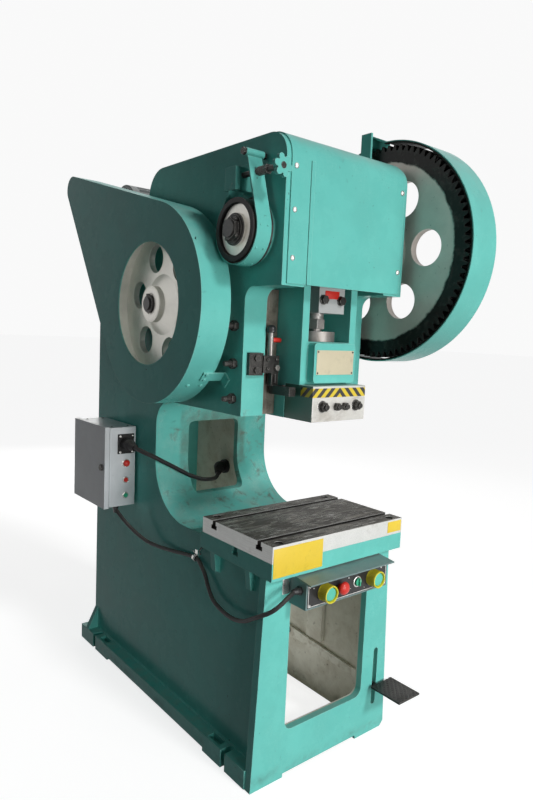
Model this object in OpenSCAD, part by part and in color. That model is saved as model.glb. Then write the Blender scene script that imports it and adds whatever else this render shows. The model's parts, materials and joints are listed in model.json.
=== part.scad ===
// Mechanical stamping press: an open-backed C-frame press with a one-sided geared crankshaft.
// Z is up, X runs to the viewer's right and the front faces -Y. The origin is on the floor,
// at the centre of the four foundation slots. Inside the modules, y is the distance behind
// the front edge of the bolster, and placed() moves it to the origin.

/* [Frame] */
// Half the width over the side plates
frame_half_w = 254; // [252:1:256]
// Thickness of the frame walls
wall = 28; // [24:1:32]
// Front face of the base, behind the bolster's front edge
base_front = 37; // [30:1:45]
// Rear face of the column
frame_back = 1190; // [1150:10:1230]
// Height of the throat floor behind the table
throat_floor = 682; // [670:1:690]
// Rear wall of the throat
throat_back = 708; // [700:1:716]
// Underside of the head
head_under = 1097; // [1090:1:1100]
// Radius at the bottom of the throat
throat_r_low = 200; // [180:5:215]
// Radius at the top of the throat
throat_r_high = 90; // [80:5:100]
// Front face of the guide cheeks
guide_front = 208; // [205:1:212]
// Lower edge of the head above the guides
head_sill = 1484; // [1480:1:1490]
// Front face of the head
head_front = 46; // [42:1:50]
// Rear end of the head's flat top
head_back = 800; // [780:5:820]
// Top of the head
head_top = 1903; // [1895:1:1915]
// Radius of the head's front top edge
head_r = 73; // [60:1:80]
// Top of the column behind the head
column_top = 1640; // [1620:5:1655]
// Half the width of the front plate at the floor
front_half_w = 295; // [290:1:298]
// Height of the foot flanges
foot_h = 58; // [50:1:64]
// Half the width over the foot flanges
foot_half_w = 298; // [296:1:302]
// Front foundation slots, behind the bolster's front edge
anchor_front = 174; // [165:1:185]
// Rear foundation slots
anchor_rear = 1104; // [1095:1:1112]
// Width of a foundation slot
anchor_w = 22; // [18:1:24]
// Thickness of the base's side walls
base_wall = 13; // [12:1:16]
// Half the width of the window in the throat wall
throat_window_half = 115; // [105:1:120]

/* [Table and bolster] */
// Half the width of the table and the bolster
table_half_w = 280; // [272:1:284]
// Depth of the bolster from front to rear
bolster_d = 350; // [340:1:356]
// Height of the table's top
table_top = 708; // [704:1:712]
// Thickness of the table
table_t = 53; // [48:1:56]
// Thickness of the bolster
bolster_t = 50; // [46:1:56]
// Neck width of the T-slots
slot_neck = 18; // [14:1:20]
// Distance of the bolster's T-slots from its front and rear edges
slot_inset = 62; // [50:1:75]

/* [Crank and ram] */
// Crankshaft behind the bolster's front edge
crank_y = 172; // [170:1:174]
// Height of the crankshaft
crank_z = 1635; // [1630:1:1640]
// Stroke of the ram
stroke = 65; // [55:1:66]
// Radius of the crankshaft's journals
journal_r = 45; // [42:1:46]
// Radius of the crank pin
crank_pin_r = 50; // [48:1:52]
// Height of the ball joint with the ram up
ball_z = 1300; // [1298:1:1302]
// Radius of the ball
ball_r = 38; // [34:1:39]
// Height of the ram's lower face with the ram up
ram_bottom = 1093; // [1090:1:1093]
// Half the width of the ram's guided body
ram_half_w = 115; // [113:1:116]
// Rear face of the ram
ram_back = 322; // [318:1:326]
// Radius of the shank hole
shank_r = 20; // [16:0.5:22]
// Depth of the shank hole
shank_depth = 70; // [60:1:75]
// Radial running clearance of the shafts
run_gap = 0.08; // [0.05:0.01:0.1]
// Clearance between parts that slide or lie close
fit_gap = 0.3; // [0.2:0.05:0.4]

/* [Gear train] */
// Gear module
gear_module = 8; // [7.9:0.05:8.1]
// Teeth on the main gear
gear_teeth = 86; // [86:2:88]
// Teeth on the pinion
pinion_teeth = 20; // [20:2:20]
// Angle of the drive shaft below the crankshaft, seen from the side
mesh_angle = -29.4; // [-31:0.2:-28]
// Gap from the frame's side to the gear's rim
gear_gap = 30; // [28:1:34]
// Width of the toothed rims
gear_w = 86; // [80:1:90]
// Radius of the drive shaft
drive_r = 27; // [25:1:29]
// Radius of the flywheel
flywheel_r = 292; // [280:1:296]
// Width of the flywheel's rim
flywheel_w = 76; // [72:1:80]
// Gap from the frame's side to the flywheel's rim
flywheel_gap = 52; // [50:1:56]
// Radius of the motor pulley
pulley_r = 52; // [48:1:54]
// Distance from the drive shaft to the motor shaft
motor_reach = 655; // [645:5:665]
// Angle of the motor above the drive shaft
motor_angle = 36; // [34:0.5:38]

/* [Guards] */
// Thickness of the guard sheet
guard_t = 4; // [3:0.5:5]
// Inside radius of the belt guard round the flywheel
belt_guard_r = 316; // [310:1:322]
// Gap from the frame's side to the belt guard
belt_guard_gap = 41; // [38:1:44]
// Depth of the belt guard
belt_guard_d = 103; // [98:1:106]
// Radius of the round window in the belt guard
belt_window_r = 197; // [185:1:205]
// Inside radius of the gear guard
gear_guard_r = 362; // [360:1:368]
// Gap from the frame's side to the gear guard
gear_guard_gap = 26; // [24:1:30]
// Depth of the gear guard
gear_guard_d = 122; // [115:1:126]

/* [Brake] */
// Radius of the brake drum
drum_r = 88; // [84:1:90]
// Distance from the frame's side to the brake drum's outer face
drum_reach = 74; // [72:1:76]
// Width of the brake band
band_w = 50; // [46:1:52]
// Thickness of the brake band
band_t = 4; // [3:0.5:5]
// Thickness of the brake lining
lining_t = 5; // [4:0.5:6]

/* [Controls] */
// Width of the control cabinet, front to rear
cabinet_w = 266; // [240:2:280]
// Depth of the control cabinet, off the frame's side
cabinet_d = 106; // [100:1:110]
// Height of the control cabinet
cabinet_h = 300; // [290:2:310]
// Half the width of the button box
button_box_half = 176; // [165:1:185]
// Height of the button box
button_box_h = 81; // [76:1:86]
// Depth of the button box
button_box_d = 72; // [66:1:78]
// Width of the pedal plate
pedal_w = 105; // [90:1:115]
// Depth of the pedal plate
pedal_d = 128; // [110:1:135]
// Diameter of the motor cable
motor_cable_d = 16; // [14:0.5:18]
// Diameter of the button cable
button_cable_d = 13; // [11:0.5:14]

/* [Hidden] */
$fn = 64;

enamel = "#5cc8b0";
grey_enamel = "#b4b7b2";
bare_steel = "#b9b7b2";
dark_steel = "#3b3a38";
rubber = "#1d1d1f";
pale_grey = "#c9ccca";

// Places worked out from the sizes above
origin_setback = (anchor_front + anchor_rear) / 2;
crank_r = stroke / 2;
pin_z = crank_z + crank_r;
inner_half_w = frame_half_w - wall;
base_inner = frame_half_w - base_wall;
gear_x = frame_half_w + gear_gap;
gear_guard_x = frame_half_w + gear_guard_gap;
flywheel_x = frame_half_w + flywheel_gap;
belt_guard_x = frame_half_w + belt_guard_gap;
drum_face = frame_half_w + drum_reach;
gear_pitch_r = gear_module * gear_teeth / 2;
pinion_pitch_r = gear_module * pinion_teeth / 2;
mesh_distance = gear_pitch_r + pinion_pitch_r + fit_gap;
drive_y = crank_y + mesh_distance * cos(mesh_angle);
drive_z = crank_z + mesh_distance * sin(mesh_angle);
motor_y = drive_y + motor_reach * cos(motor_angle);
motor_z = drive_z + motor_reach * sin(motor_angle);
bolster_top = table_top + bolster_t;
guard_cap_r = 44;
guard_reach = motor_reach + 92;
bearing_out = 8;
bush_t = 15;
drive_bush_t = 12;
web_in = 58;
web_out = 92;
crank_left = -drum_face - 24;
gear_shaft_r = 40;
gear_bush_t = 9;
drum_back = frame_half_w + bearing_out + 4;
hub_back = drum_back + fit_gap;
cover_half = 238;
cover_open = 205;
cover_screws_at = [[-222, 1560], [-222, 1690], [-222, 1807], [226, 1560], [226, 1807]];
band_rear = 92;
ring_neck_r = 26;
gib_x = 170;
gib_in = ram_half_w + 3;
gib_front = guide_front + 8;
gib_mid = (gib_front + ram_back) / 2;
vee = 32;
ram_head = 1200;
pocket_floor = 1330;
ram_top = 1500;
column_step = 608;
window_half = 169;
window_low = 150;
window_high = 588;
slot_low = 98;
slot_high = 300;
slot_r = 10;
bolt_x = [-table_half_w + 40, table_half_w - 40];
bolt_y = [22, bolster_d - 22];
bolt_r = 8;
bolt_head_r = 12;
cabinet_front = 844;
cabinet_z = 678;
cabinet_x = frame_half_w + 10;
door_rear = cabinet_front + cabinet_w + 3;
hinge_x = -cabinet_x - cabinet_d - 6;
hinge_y = door_rear + 5.6;
hinge_h = 24;
hinge_r = 5;
hinge_pin_r = 2.5;
hinge_z = [cabinet_z + 22, cabinet_z + cabinet_h - 72];
button_box_top = 641;
button_face = base_front - button_box_d;
button_z = 603;
pedal_x = base_inner - 6;
pedal_pivot_y = 480;
pedal_pivot_z = 190;
motor_body_x = -36;
motor_shaft_r = 14;
gland_y = 932;
gland_z = 760;
clip_y = 417;
clip_z = 597;
clip_x = -frame_half_w - 7.5;
pin_r = 9;
motor_cable_route = [
    [-306, 766, 911], [-307, 744, 910], [-303, 722, 907], [-288, 703, 898], [-264, 693, 886],
    [-236, 689, 870], [-210, 688, 856], [-184, 688, 842], [-152, 684, 824], [-120, 682, 807],
    [-86, 685, 793], [-54, 697, 782], [-24, 714, 774], [8, 738, 766], [38, 768, 757],
    [70, 803, 748], [104, 838, 739], [134, 868, 736], [152, 888, 739], [162, 900, 744]
];
button_cable_route = [
    [-330, 866, 678], [-329, 861, 661], [-318, 831, 634], [-302, 775, 601], [-286, 690, 577],
    [-272, 583, 579], [-264, 491, 590], [-261.5, 432, 597], [-261.5, 402, 597], [-264, 376, 584],
    [-268, 346, 564], [-272, 322, 536], [-276, 286, 504], [-280, 232, 489], [-286, 163, 489],
    [-291, 104, 506], [-294, 56, 533], [-292, 18, 556], [-280, -8, 574], [-256, -18, 592],
    [-226, -16, 607], [-198, -9, 613], [-176, -8, 613]
];
front_cover_t = 4;
belt_pitch = 20;

module placed() {
    translate([0, -origin_setback, 0]) children();
}

// A side view, y to the right and z up, drawn out along X
module along_x(x0, x1) {
    translate([x0, 0, 0]) rotate([90, 0, 90]) linear_extrude(x1 - x0) children();
}

// A front view, x to the right and z up, drawn out along Y
module along_y(y0, y1) {
    translate([0, y1, 0]) rotate([90, 0, 0]) linear_extrude(y1 - y0) children();
}

module shaft_x(r, x0, x1, y = 0, z = 0) {
    translate([x0, y, z]) rotate([0, 90, 0]) cylinder(r = r, h = x1 - x0);
}

module shaft_y(r, y0, y1, x = 0, z = 0) {
    translate([x, y0, z]) rotate([-90, 0, 0]) cylinder(r = r, h = y1 - y0);
}

module shaft_z(r, z0, z1, x = 0, y = 0) {
    translate([x, y, z0]) cylinder(r = r, h = z1 - z0);
}

module block(x0, x1, y0, y1, z0, z1) {
    translate([x0, y0, z0]) cube([x1 - x0, y1 - y0, z1 - z0]);
}

// The same shape on the left and on the right
module both_sides() {
    children();
    mirror([1, 0, 0]) children();
}

module rounded_rect(x0, x1, z0, z1, r) {
    translate([x0 + r, z0]) square([x1 - x0 - 2 * r, z1 - z0]);
    translate([x0, z0 + r]) square([x1 - x0, z1 - z0 - 2 * r]);
    for (x = [x0 + r, x1 - r], z = [z0 + r, z1 - r]) translate([x, z]) circle(r);
}

// Hexagon head or nut on an axis along Y, the outer end at y0
module hex_y(across, y0, y1, x, z) {
    translate([x, y0, z]) rotate([-90, 0, 0]) cylinder(d = across / cos(30), h = y1 - y0, $fn = 6);
}

module hex_x(across, x0, x1, y, z) {
    translate([x0, y, z]) rotate([0, 90, 0]) cylinder(d = across / cos(30), h = x1 - x0, $fn = 6);
}

// Two circles joined by their common tangents, the small one at distance d and angle a.
// The straight sides lie a hair inside the circles, so that each meets its circle at a clear edge.
module teardrop(r1, r2, d, a) {
    hair = 0.06;
    phi = acos((r1 - r2) / d);
    big = r1 - hair;
    small = r2 - hair;
    rotate(a) {
        circle(r1);
        translate([d, 0]) circle(r2);
        polygon([
            [big * cos(phi), big * sin(phi)],
            [big * cos(phi), -big * sin(phi)],
            [d + small * cos(phi), -small * sin(phi)],
            [d + small * cos(phi), small * sin(phi)]
        ]);
    }
}

// Side view of the throat, made larger by t
module throat_shape(t) {
    low_y = throat_back - throat_r_low;
    low_z = throat_floor + throat_r_low;
    high_y = throat_back - throat_r_high;
    high_z = head_under - throat_r_high;
    translate([-120, throat_floor - t]) square([low_y + 120, head_under - throat_floor + 2 * t]);
    translate([low_y - 1, low_z]) square([throat_r_low + 1 + t, high_z - low_z]);
    translate([low_y - 1, high_z - 1]) square([high_y - low_y + 1, throat_r_high + 1 + t]);
    translate([low_y, low_z]) circle(throat_r_low + t);
    translate([high_y, high_z]) circle(throat_r_high + t);
}

// Side view of the base and column, moved in by t
module body_outline(t) {
    difference() {
        union() {
            translate([base_front + t, t > 0 ? -1 : 0])
                square([frame_back - base_front - 2 * t, throat_floor + 60]);
            translate([column_step + (t > 0 ? -1 : 0), throat_floor])
                square([frame_back - column_step - t + (t > 0 ? 1 : 0), column_top - throat_floor - t]);
        }
        throat_shape(t);
    }
}

// Side view of the head, moved in by t
module head_outline(t) {
    notch_r = 40;
    rear_r = 90;
    difference() {
        union() {
            translate([head_front + t, head_under - 1])
                square([head_back - head_front - 2 * t, head_top - head_under + 1 - head_r]);
            translate([head_front + head_r, head_under])
                square([head_back - head_front - head_r - rear_r, head_top - head_under - t]);
            translate([head_front + head_r, head_top - head_r]) circle(head_r - t);
            translate([head_back - rear_r, head_top - rear_r]) circle(rear_r - t);
        }
        throat_shape(t);
        translate([-120, head_under - 10])
            square([guide_front + 120 + t - notch_r, head_sill - head_under + 10 + t]);
        translate([-120, head_under - 10])
            square([guide_front + 120 + t, head_sill - head_under + 10 + t - notch_r]);
        translate([guide_front - notch_r, head_sill - notch_r]) circle(notch_r + t);
    }
}

module foot_flanges() {
    pad_len = 248;
    foot_end = 1231;
    slot_in = 42;
    raised = 12;
    both_sides() difference() {
        block(base_inner, foot_half_w, base_front + wall - 1, foot_end, 0, foot_h);
        block(0, foot_half_w + 1, base_front + pad_len, foot_end - pad_len, -1, raised);
        for (y = [anchor_front, anchor_rear]) {
            block(foot_half_w - slot_in + anchor_w / 2, foot_half_w + 1,
                y - anchor_w / 2, y + anchor_w / 2, -1, foot_h + 1);
            shaft_z(anchor_w / 2, -1, foot_h + 1, foot_half_w - slot_in + anchor_w / 2, y);
        }
        // hollow behind each slot, as cast
        for (y = [anchor_front + 34, anchor_rear - 94])
            block(frame_half_w + 8, foot_half_w - 10, y, y + 60, foot_h - 22, foot_h + 1);
    }
    both_sides() along_y(frame_back - 26, frame_back - 2)
        polygon([[frame_half_w - 1, foot_h - 1], [foot_half_w, foot_h - 1], [frame_half_w - 1, 150]]);
}

module base_front_plate() {
    corner = 16;
    along_y(base_front, base_front + wall) difference() {
        polygon([
            [-front_half_w, 0], [front_half_w - corner, 0], [front_half_w, corner],
            [table_half_w - 12, table_top - table_t + 1],
            [-table_half_w + 12, table_top - table_t + 1]
        ]);
        rounded_rect(-window_half, window_half, window_low, window_high, 30);
        translate([-window_half, -1]) square([2 * window_half - 16, 13]);
    }
}

module table_plate() {
    gusset = 60;
    difference() {
        block(-table_half_w, table_half_w, 0, bolster_d + 12, table_top - table_t, table_top);
        translate([0, bolster_d / 2, 0]) tee_slot(table_top, -table_half_w - 1, table_half_w + 1);
        block(-110, 110, 60, bolster_d / 2 - 40, table_top - table_t - 1, table_top + 1);
        block(-110, 110, bolster_d / 2 + 40, bolster_d - 50, table_top - table_t - 1, table_top + 1);
    }
    both_sides() for (y = [105, 285])
        along_y(y, y + 22)
            polygon([
                [frame_half_w - 1, table_top - table_t + 1],
                [table_half_w - 3, table_top - table_t + 1],
                [table_half_w - 10, table_top - table_t - gusset],
                [frame_half_w - 1, table_top - table_t - gusset - 8]
            ]);
}

// T-slot along X, cut down from height top
module tee_slot(top, x0, x1) {
    neck_h = 13;
    foot_w = slot_neck + 12;
    foot_t = 13;
    block(x0, x1, -slot_neck / 2, slot_neck / 2, top - neck_h - foot_t, top + 1);
    block(x0, x1, -foot_w / 2, foot_w / 2, top - neck_h - foot_t, top - neck_h);
}

module guide_cheeks() {
    both_sides() block(gib_x, inner_half_w + 1, guide_front + 1, ram_back + 14, head_under, head_sill + 20);
}

module frame() {
    boss_r = 88;
    drive_boss_r = 58;
    color(enamel) placed() difference() {
        union() {
            difference() {
                union() {
                    along_x(-frame_half_w, frame_half_w) body_outline(0);
                    along_x(-frame_half_w, frame_half_w) head_outline(0);
                }
                along_x(-inner_half_w, inner_half_w) body_outline(wall);
                along_x(-inner_half_w, inner_half_w) head_outline(wall);
                // thinner side walls low in the base
                block(-base_inner, base_inner, base_front + wall, throat_back, -1, throat_floor - 90);
                block(-base_inner, base_inner, base_front - 1, base_front + wall + 1, -1, throat_floor - 42);
                // the head opens into the column
                block(-inner_half_w, inner_half_w, column_step - 30, head_back + 40,
                    head_under + throat_r_high, column_top - wall);
                block(-inner_half_w, inner_half_w, column_step, head_back - wall,
                    column_top - wall - 1, column_top + 20);
            }
            base_front_plate();
            table_plate();
            foot_flanges();
            guide_cheeks();
            both_sides() {
                shaft_x(boss_r, inner_half_w - 22, frame_half_w + bearing_out, crank_y, crank_z);
                shaft_x(drive_boss_r, inner_half_w - 22, frame_half_w + bearing_out, drive_y, drive_z);
            }
            // upright rib inside the base
            block(-base_inner - 1, -base_inner + 62, 640, 668, 60, 560);
        }
        // throat window and the open back of the column
        along_y(throat_back - throat_r_low, throat_back + wall + 2)
            rounded_rect(-throat_window_half, throat_window_half,
                throat_floor + 60, head_under - throat_r_high, 24);
        along_y(frame_back - wall - 2, frame_back + 2) {
            rounded_rect(-150, 150, 160, 620, 30);
            rounded_rect(-150, 150, 700, 1500, 40);
        }
        // slug holes in the base's deck, under those in the table
        for (y = [[60, bolster_d / 2 - 40], [bolster_d / 2 + 40, bolster_d - 50]])
            block(-110, 110, y[0], y[1], throat_floor - wall - 8, table_top + 1);
        // ram opening below and in front
        block(-gib_x, gib_x, -10, ram_back + 14, head_under - 5, head_sill + wall + 2);
        block(-cover_open, cover_open, -10, head_front + wall + 2, head_sill + wall, head_top - head_r - 10);
        for (at = cover_screws_at) shaft_y(4, head_front - 1, head_front + 16, at[0], at[1]);
        // threads for the bolster's bolts and the gib studs
        for (x = bolt_x, y = bolt_y) shaft_z(bolt_r, table_top - 30, table_top + 1, x, y);
        both_sides() for (z = gib_stud_z)
            shaft_x(gib_stud_r, gib_x - 1, frame_half_w + 1, gib_mid - 22, z);
        // pedal slot in the front plate
        along_y(base_front - 2, base_front + wall + 2) {
            for (z = [slot_low + slot_r, slot_high - slot_r]) translate([pedal_x, z]) circle(slot_r);
            translate([pedal_x - slot_r, slot_low + slot_r])
                square([2 * slot_r, slot_high - slot_low - 2 * slot_r]);
        }
        // shaft bores
        shaft_x(journal_r + bush_t, -drum_back, drum_back, crank_y, crank_z);
        shaft_x(drive_r + drive_bush_t, -drum_back, drum_back, drive_y, drive_z);
        // gland hole and pedal pin in the right side
        shaft_x(15, inner_half_w - 1, frame_half_w + 1, gland_y, gland_z);
        shaft_x(pin_r, base_inner - 1, frame_half_w + 1, pedal_pivot_y, pedal_pivot_z);
    }
}

module front_cover() {
    half = cover_half;
    joggle = -160;
    end_y = 150;
    low = head_sill + 6;
    bend_z = head_top - head_r;
    color(enamel) placed() difference() {
        union() {
            along_x(-half, half) {
                translate([head_front - front_cover_t, low]) square([front_cover_t, bend_z - low]);
                difference() {
                    translate([head_front + head_r, bend_z]) circle(head_r + front_cover_t);
                    translate([head_front + head_r, bend_z]) circle(head_r + fit_gap);
                    translate([head_front - 20, bend_z - 200]) square([400, 200]);
                    translate([head_front + head_r, bend_z - 200]) square([400, 400]);
                }
                translate([head_front + head_r, head_top + fit_gap])
                    square([end_y - head_front - head_r, front_cover_t - fit_gap]);
            }
            // pressed rib beside the left-hand strip
            along_x(joggle - 7, joggle + 7)
                translate([head_front - front_cover_t - 3, low]) square([3.5, bend_z - low]);
        }
        for (at = cover_screws_at)
            shaft_y(4, head_front - front_cover_t - 1, head_front + 1, at[0], at[1]);
    }
}

module cover_screws() {
    head_y = head_front - front_cover_t;
    color(bare_steel) placed()
        for (at = cover_screws_at) {
            intersection() {
                shaft_y(8, head_y - 6, head_y, at[0], at[1]);
                translate([at[0], head_y + 4, at[1]]) sphere(10);
            }
            shaft_y(4, head_y - 1, head_front + 16, at[0], at[1]);
        }
}

module bolster() {
    color(bare_steel) placed() difference() {
        block(-table_half_w, table_half_w, 0, bolster_d, table_top, bolster_top);
        for (y = [slot_inset, bolster_d - slot_inset])
            translate([0, y, 0]) tee_slot(bolster_top, -table_half_w - 1, table_half_w + 1);
        for (x = bolt_x, y = bolt_y) {
            shaft_z(bolt_r + fit_gap, table_top - 1, bolster_top + 1, x, y);
            shaft_z(bolt_head_r + 1, bolster_top - 20, bolster_top + 1, x, y);
        }
    }
}

module bolster_bolts() {
    color(dark_steel) placed() for (x = bolt_x, y = bolt_y) difference() {
        union() {
            shaft_z(bolt_r, table_top - 30, bolster_top - 19, x, y);
            shaft_z(bolt_head_r, bolster_top - 20, bolster_top - 5, x, y);
        }
        translate([x, y, bolster_top - 12]) cylinder(d = 16, h = 9, $fn = 6);
    }
}

// Plan view of one gib with its V-groove, on the right
module gib_plan() {
    polygon([
        [gib_x, gib_front], [gib_x, ram_back + 2], [gib_in, ram_back + 2], [gib_in, gib_mid + vee],
        [gib_in + vee, gib_mid], [gib_in, gib_mid - vee], [gib_in, gib_front]
    ]);
}

module guide_gibs() {
    color("#7b736a") placed() both_sides()
        translate([0, 0, head_under + 3]) linear_extrude(head_sill - head_under - 4) gib_plan();
}

gib_stud_z = [1148, 1254, 1368];
gib_stud_r = 9;

// Adjusting studs through each cheek to the gib, with lock nuts; short ones on the gear's side
module gib_stud(len, nut, z) {
    shaft_x(gib_stud_r, gib_x, frame_half_w + len, gib_mid - 22, z);
    hex_x(28, frame_half_w, frame_half_w + nut, gib_mid - 22, z);
    hex_x(14, frame_half_w + len - 1, frame_half_w + len + 8, gib_mid - 22, z);
}

module gib_studs() {
    color(dark_steel) placed() for (z = gib_stud_z) {
        gib_stud(15, 12, z);
        mirror([1, 0, 0]) gib_stud(32, 15, z);
    }
}

// Bronze bush on the X axis, a running fit on a shaft of radius r
module bush(r, t, x0, x1) {
    difference() {
        shaft_x(r + t, x0, x1);
        shaft_x(r + run_gap, x0 - 1, x1 + 1);
    }
}

module shaft_bushes() {
    color("#b08d57") placed() both_sides() {
        translate([0, crank_y, crank_z])
            bush(journal_r, bush_t, inner_half_w - 22, frame_half_w + bearing_out);
        translate([0, drive_y, drive_z])
            bush(drive_r, drive_bush_t, inner_half_w - 22, frame_half_w + bearing_out);
    }
}

module crankshaft() {
    color(dark_steel) placed() translate([0, crank_y, crank_z]) {
        both_sides() shaft_x(journal_r, web_out - 1, drum_back);
        shaft_x(gear_shaft_r, frame_half_w, gear_x + gear_w + 22);
        shaft_x(34, -drum_face, -frame_half_w);
        shaft_x(24, crank_left, -drum_face + 1);
        shaft_x(crank_pin_r, -web_in - 1, web_in + 1, 0, crank_r);
        both_sides() along_x(web_in, web_out) translate([0, crank_r]) teardrop(74, 66, crank_r, -90);
    }
}

module brake_drum() {
    hub_r = 46;
    rim = 10;
    flange = 6;
    color(grey_enamel) placed() translate([0, crank_y, crank_z]) rotate([0, 0, 180])
        difference() {
            union() {
                shaft_x(drum_r, drum_back + flange - 1, drum_face);
                shaft_x(drum_r + 8, drum_back, drum_back + flange);
            }
            difference() {
                shaft_x(drum_r - rim, drum_face - 8, drum_face + 1);
                shaft_x(hub_r, drum_face - 9, drum_face + 2);
            }
            shaft_x(34, drum_back - 1, drum_face + 1);
        }
}

// Nut on the left end of the crankshaft, cap and nut on its right end
module shaft_end_nuts() {
    gear_end = gear_x + gear_w + 6 + fit_gap;
    color(rubber) placed() translate([0, crank_y, crank_z]) {
        difference() {
            union() {
                shaft_x(40, -drum_face - 7, -drum_face);
                hex_x(56, -drum_face - 20, -drum_face - 7, 0, 0);
            }
            shaft_x(24, -drum_face - 25, -drum_face + 1);
        }
        difference() {
            union() {
                shaft_x(62, gear_end, gear_end + 22);
                hex_x(46, gear_end + 21, gear_end + 30, 0, 0);
            }
            shaft_x(gear_shaft_r, gear_end - 1, gear_x + gear_w + 22);
        }
    }
}

band_in = drum_face - 4 - band_w;
band_out = drum_face - 4;
lining_r = drum_r + fit_gap;
band_r = lining_r + lining_t;
leaf_lean = 17;
eye_r = 11;
leaf_z = 185;
strap_end = 35;
tension_x = -frame_half_w - 42;
rod_z = 154;

// Side view of a brake strap: round the drum, with a leaf rising tangent to it in front
// and a short one behind; t0 and t1 are its radii
module strap_shape(t0, t1, leaf_len, rear_len) {
    difference() {
        circle(t1);
        circle(t0);
        polygon([
            [0, 0], 300 * [cos(180 - leaf_lean), sin(180 - leaf_lean)],
            300 * [cos(110), sin(110)], 300 * [cos(60), sin(60)],
            300 * [cos(strap_end), sin(strap_end)]
        ]);
    }
    hair = 0.06;
    lap = 3;
    if (leaf_len > 0)
        rotate(-leaf_lean) translate([-t1 + hair, -lap]) square([t1 - t0 - 2 * hair, leaf_len + lap]);
    if (rear_len > 0)
        rotate(strap_end) translate([t0 + hair, -lap]) square([t1 - t0 - 2 * hair, rear_len + lap]);
}

module brake_band() {
    slot = 20;
    color(enamel) placed() translate([0, crank_y, crank_z]) difference() {
        union() {
            along_x(-band_out, -band_in) strap_shape(band_r, band_r + band_t, leaf_z, band_rear);
            rotate([-leaf_lean, 0, 0]) shaft_x(eye_r, -band_out - 6, -band_in + 6, -band_r - band_t / 2, leaf_z);
        }
        rotate([-leaf_lean, 0, 0]) shaft_x(5, -band_out - 10, -band_in + 10, -band_r - band_t / 2, leaf_z);
        block(tension_x - slot / 2, tension_x + slot / 2, -band_r, 0, rod_z - slot / 2, rod_z + slot / 2);
    }
}

module brake_lining() {
    color("#4a4038") placed() translate([0, crank_y, crank_z])
        along_x(-band_out + 3, -band_in - 3) strap_shape(lining_r, band_r, 0, 0);
}

// Block on the frame's side that holds the rear end of the band and the tension rod
module brake_anchor() {
    front = 10;
    depth = 50;
    color(enamel) placed() translate([0, crank_y, crank_z]) difference() {
        union() {
            block(-band_out, -frame_half_w, front, front + depth, 112, 176);
            block(-frame_half_w - 8, -frame_half_w, front - 14, front + depth + 14, 96, 196);
        }
        along_x(-band_out - 1, -band_in + 1) rotate(strap_end) translate([band_r - fit_gap, 0])
            square([band_t + 2 * fit_gap, band_rear + fit_gap]);
        shaft_y(tension_r, front - 1, front + depth - 4, tension_x, rod_z);
    }
}

tension_r = 8;
wheel_y = 8;

// Tension rod with its nut, and the pin through the band's eye
module brake_rod() {
    eye_y = crank_y - (band_r + band_t / 2) * cos(leaf_lean) + leaf_z * sin(leaf_lean);
    eye_z = crank_z + (band_r + band_t / 2) * sin(leaf_lean) + leaf_z * cos(leaf_lean);
    color(dark_steel) placed() {
        shaft_y(tension_r, wheel_y + 9.5, crank_y + 56, tension_x, crank_z + rod_z);
        hex_y(24, wheel_y + 62, wheel_y + 72, tension_x, crank_z + rod_z);
        shaft_x(5, -band_out - 16, -band_in + 15, eye_y, eye_z);
        for (x = [-band_out - 14, -band_in + 6]) hex_x(18, x, x + 8, eye_y, eye_z);
    }
}

// Coil spring between the nut and the band's leaf, drawn as closed rings
module brake_spring() {
    coils = 7;
    wire = 1.9;
    pitch = 4.7;
    start = wheel_y + 72;
    color(dark_steel) placed() for (i = [0 : coils - 1])
        translate([tension_x, start + wire + i * pitch, crank_z + rod_z]) rotate([-90, 0, 0])
            rotate_extrude() translate([tension_r + 0.5 + wire, 0]) circle(wire, $fn = 16);
}

module brake_handwheel() {
    lobes = 6;
    color(enamel) placed() translate([tension_x, wheel_y, crank_z + rod_z]) rotate([-90, 0, 0])
        difference() {
            union() {
                cylinder(r = 21, h = 12);
                for (i = [0 : lobes - 1]) rotate(i * 360 / lobes + 10) translate([22, 0, 0]) cylinder(r = 9, h = 12);
                translate([0, 0, 2]) cylinder(r = 12, h = 28);
            }
            translate([0, 0, 9]) cylinder(r = tension_r + run_gap, h = 30);
            translate([0, 0, -1]) cylinder(r = 9, h = 6);
        }
}

pressure_angle = 20;
backlash = 0.9;
function involute(a) = tan(a) * 180 / PI - a;
function flank_angle(r, rb) = r > rb ? involute(acos(rb / r)) : 0;
function half_tooth(r, rp, rb, n) =
    90 / n - backlash / 4 / rp * 180 / PI + involute(pressure_angle) - flank_angle(r, rb);
function polar(r, a) = [r * cos(a), r * sin(a)];

// Gear outline with involute flanks; the first tooth points along +X
module gear_shape(n) {
    rp = gear_module * n / 2;
    rb = rp * cos(pressure_angle);
    root = rp - 1.25 * gear_module;
    tip = rp + gear_module;
    radii = [root, rp - 0.4 * gear_module, rp + 0.3 * gear_module, tip];
    polygon([
        for (i = [0 : n - 1]) each concat(
            [for (r = radii) polar(r, i * 360 / n - half_tooth(r, rp, rb, n))],
            [for (k = [3 : -1 : 0]) polar(radii[k], i * 360 / n + half_tooth(radii[k], rp, rb, n))]
        )
    ]);
}

web_holes = 6;
gear_hub_r = 66;

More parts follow.
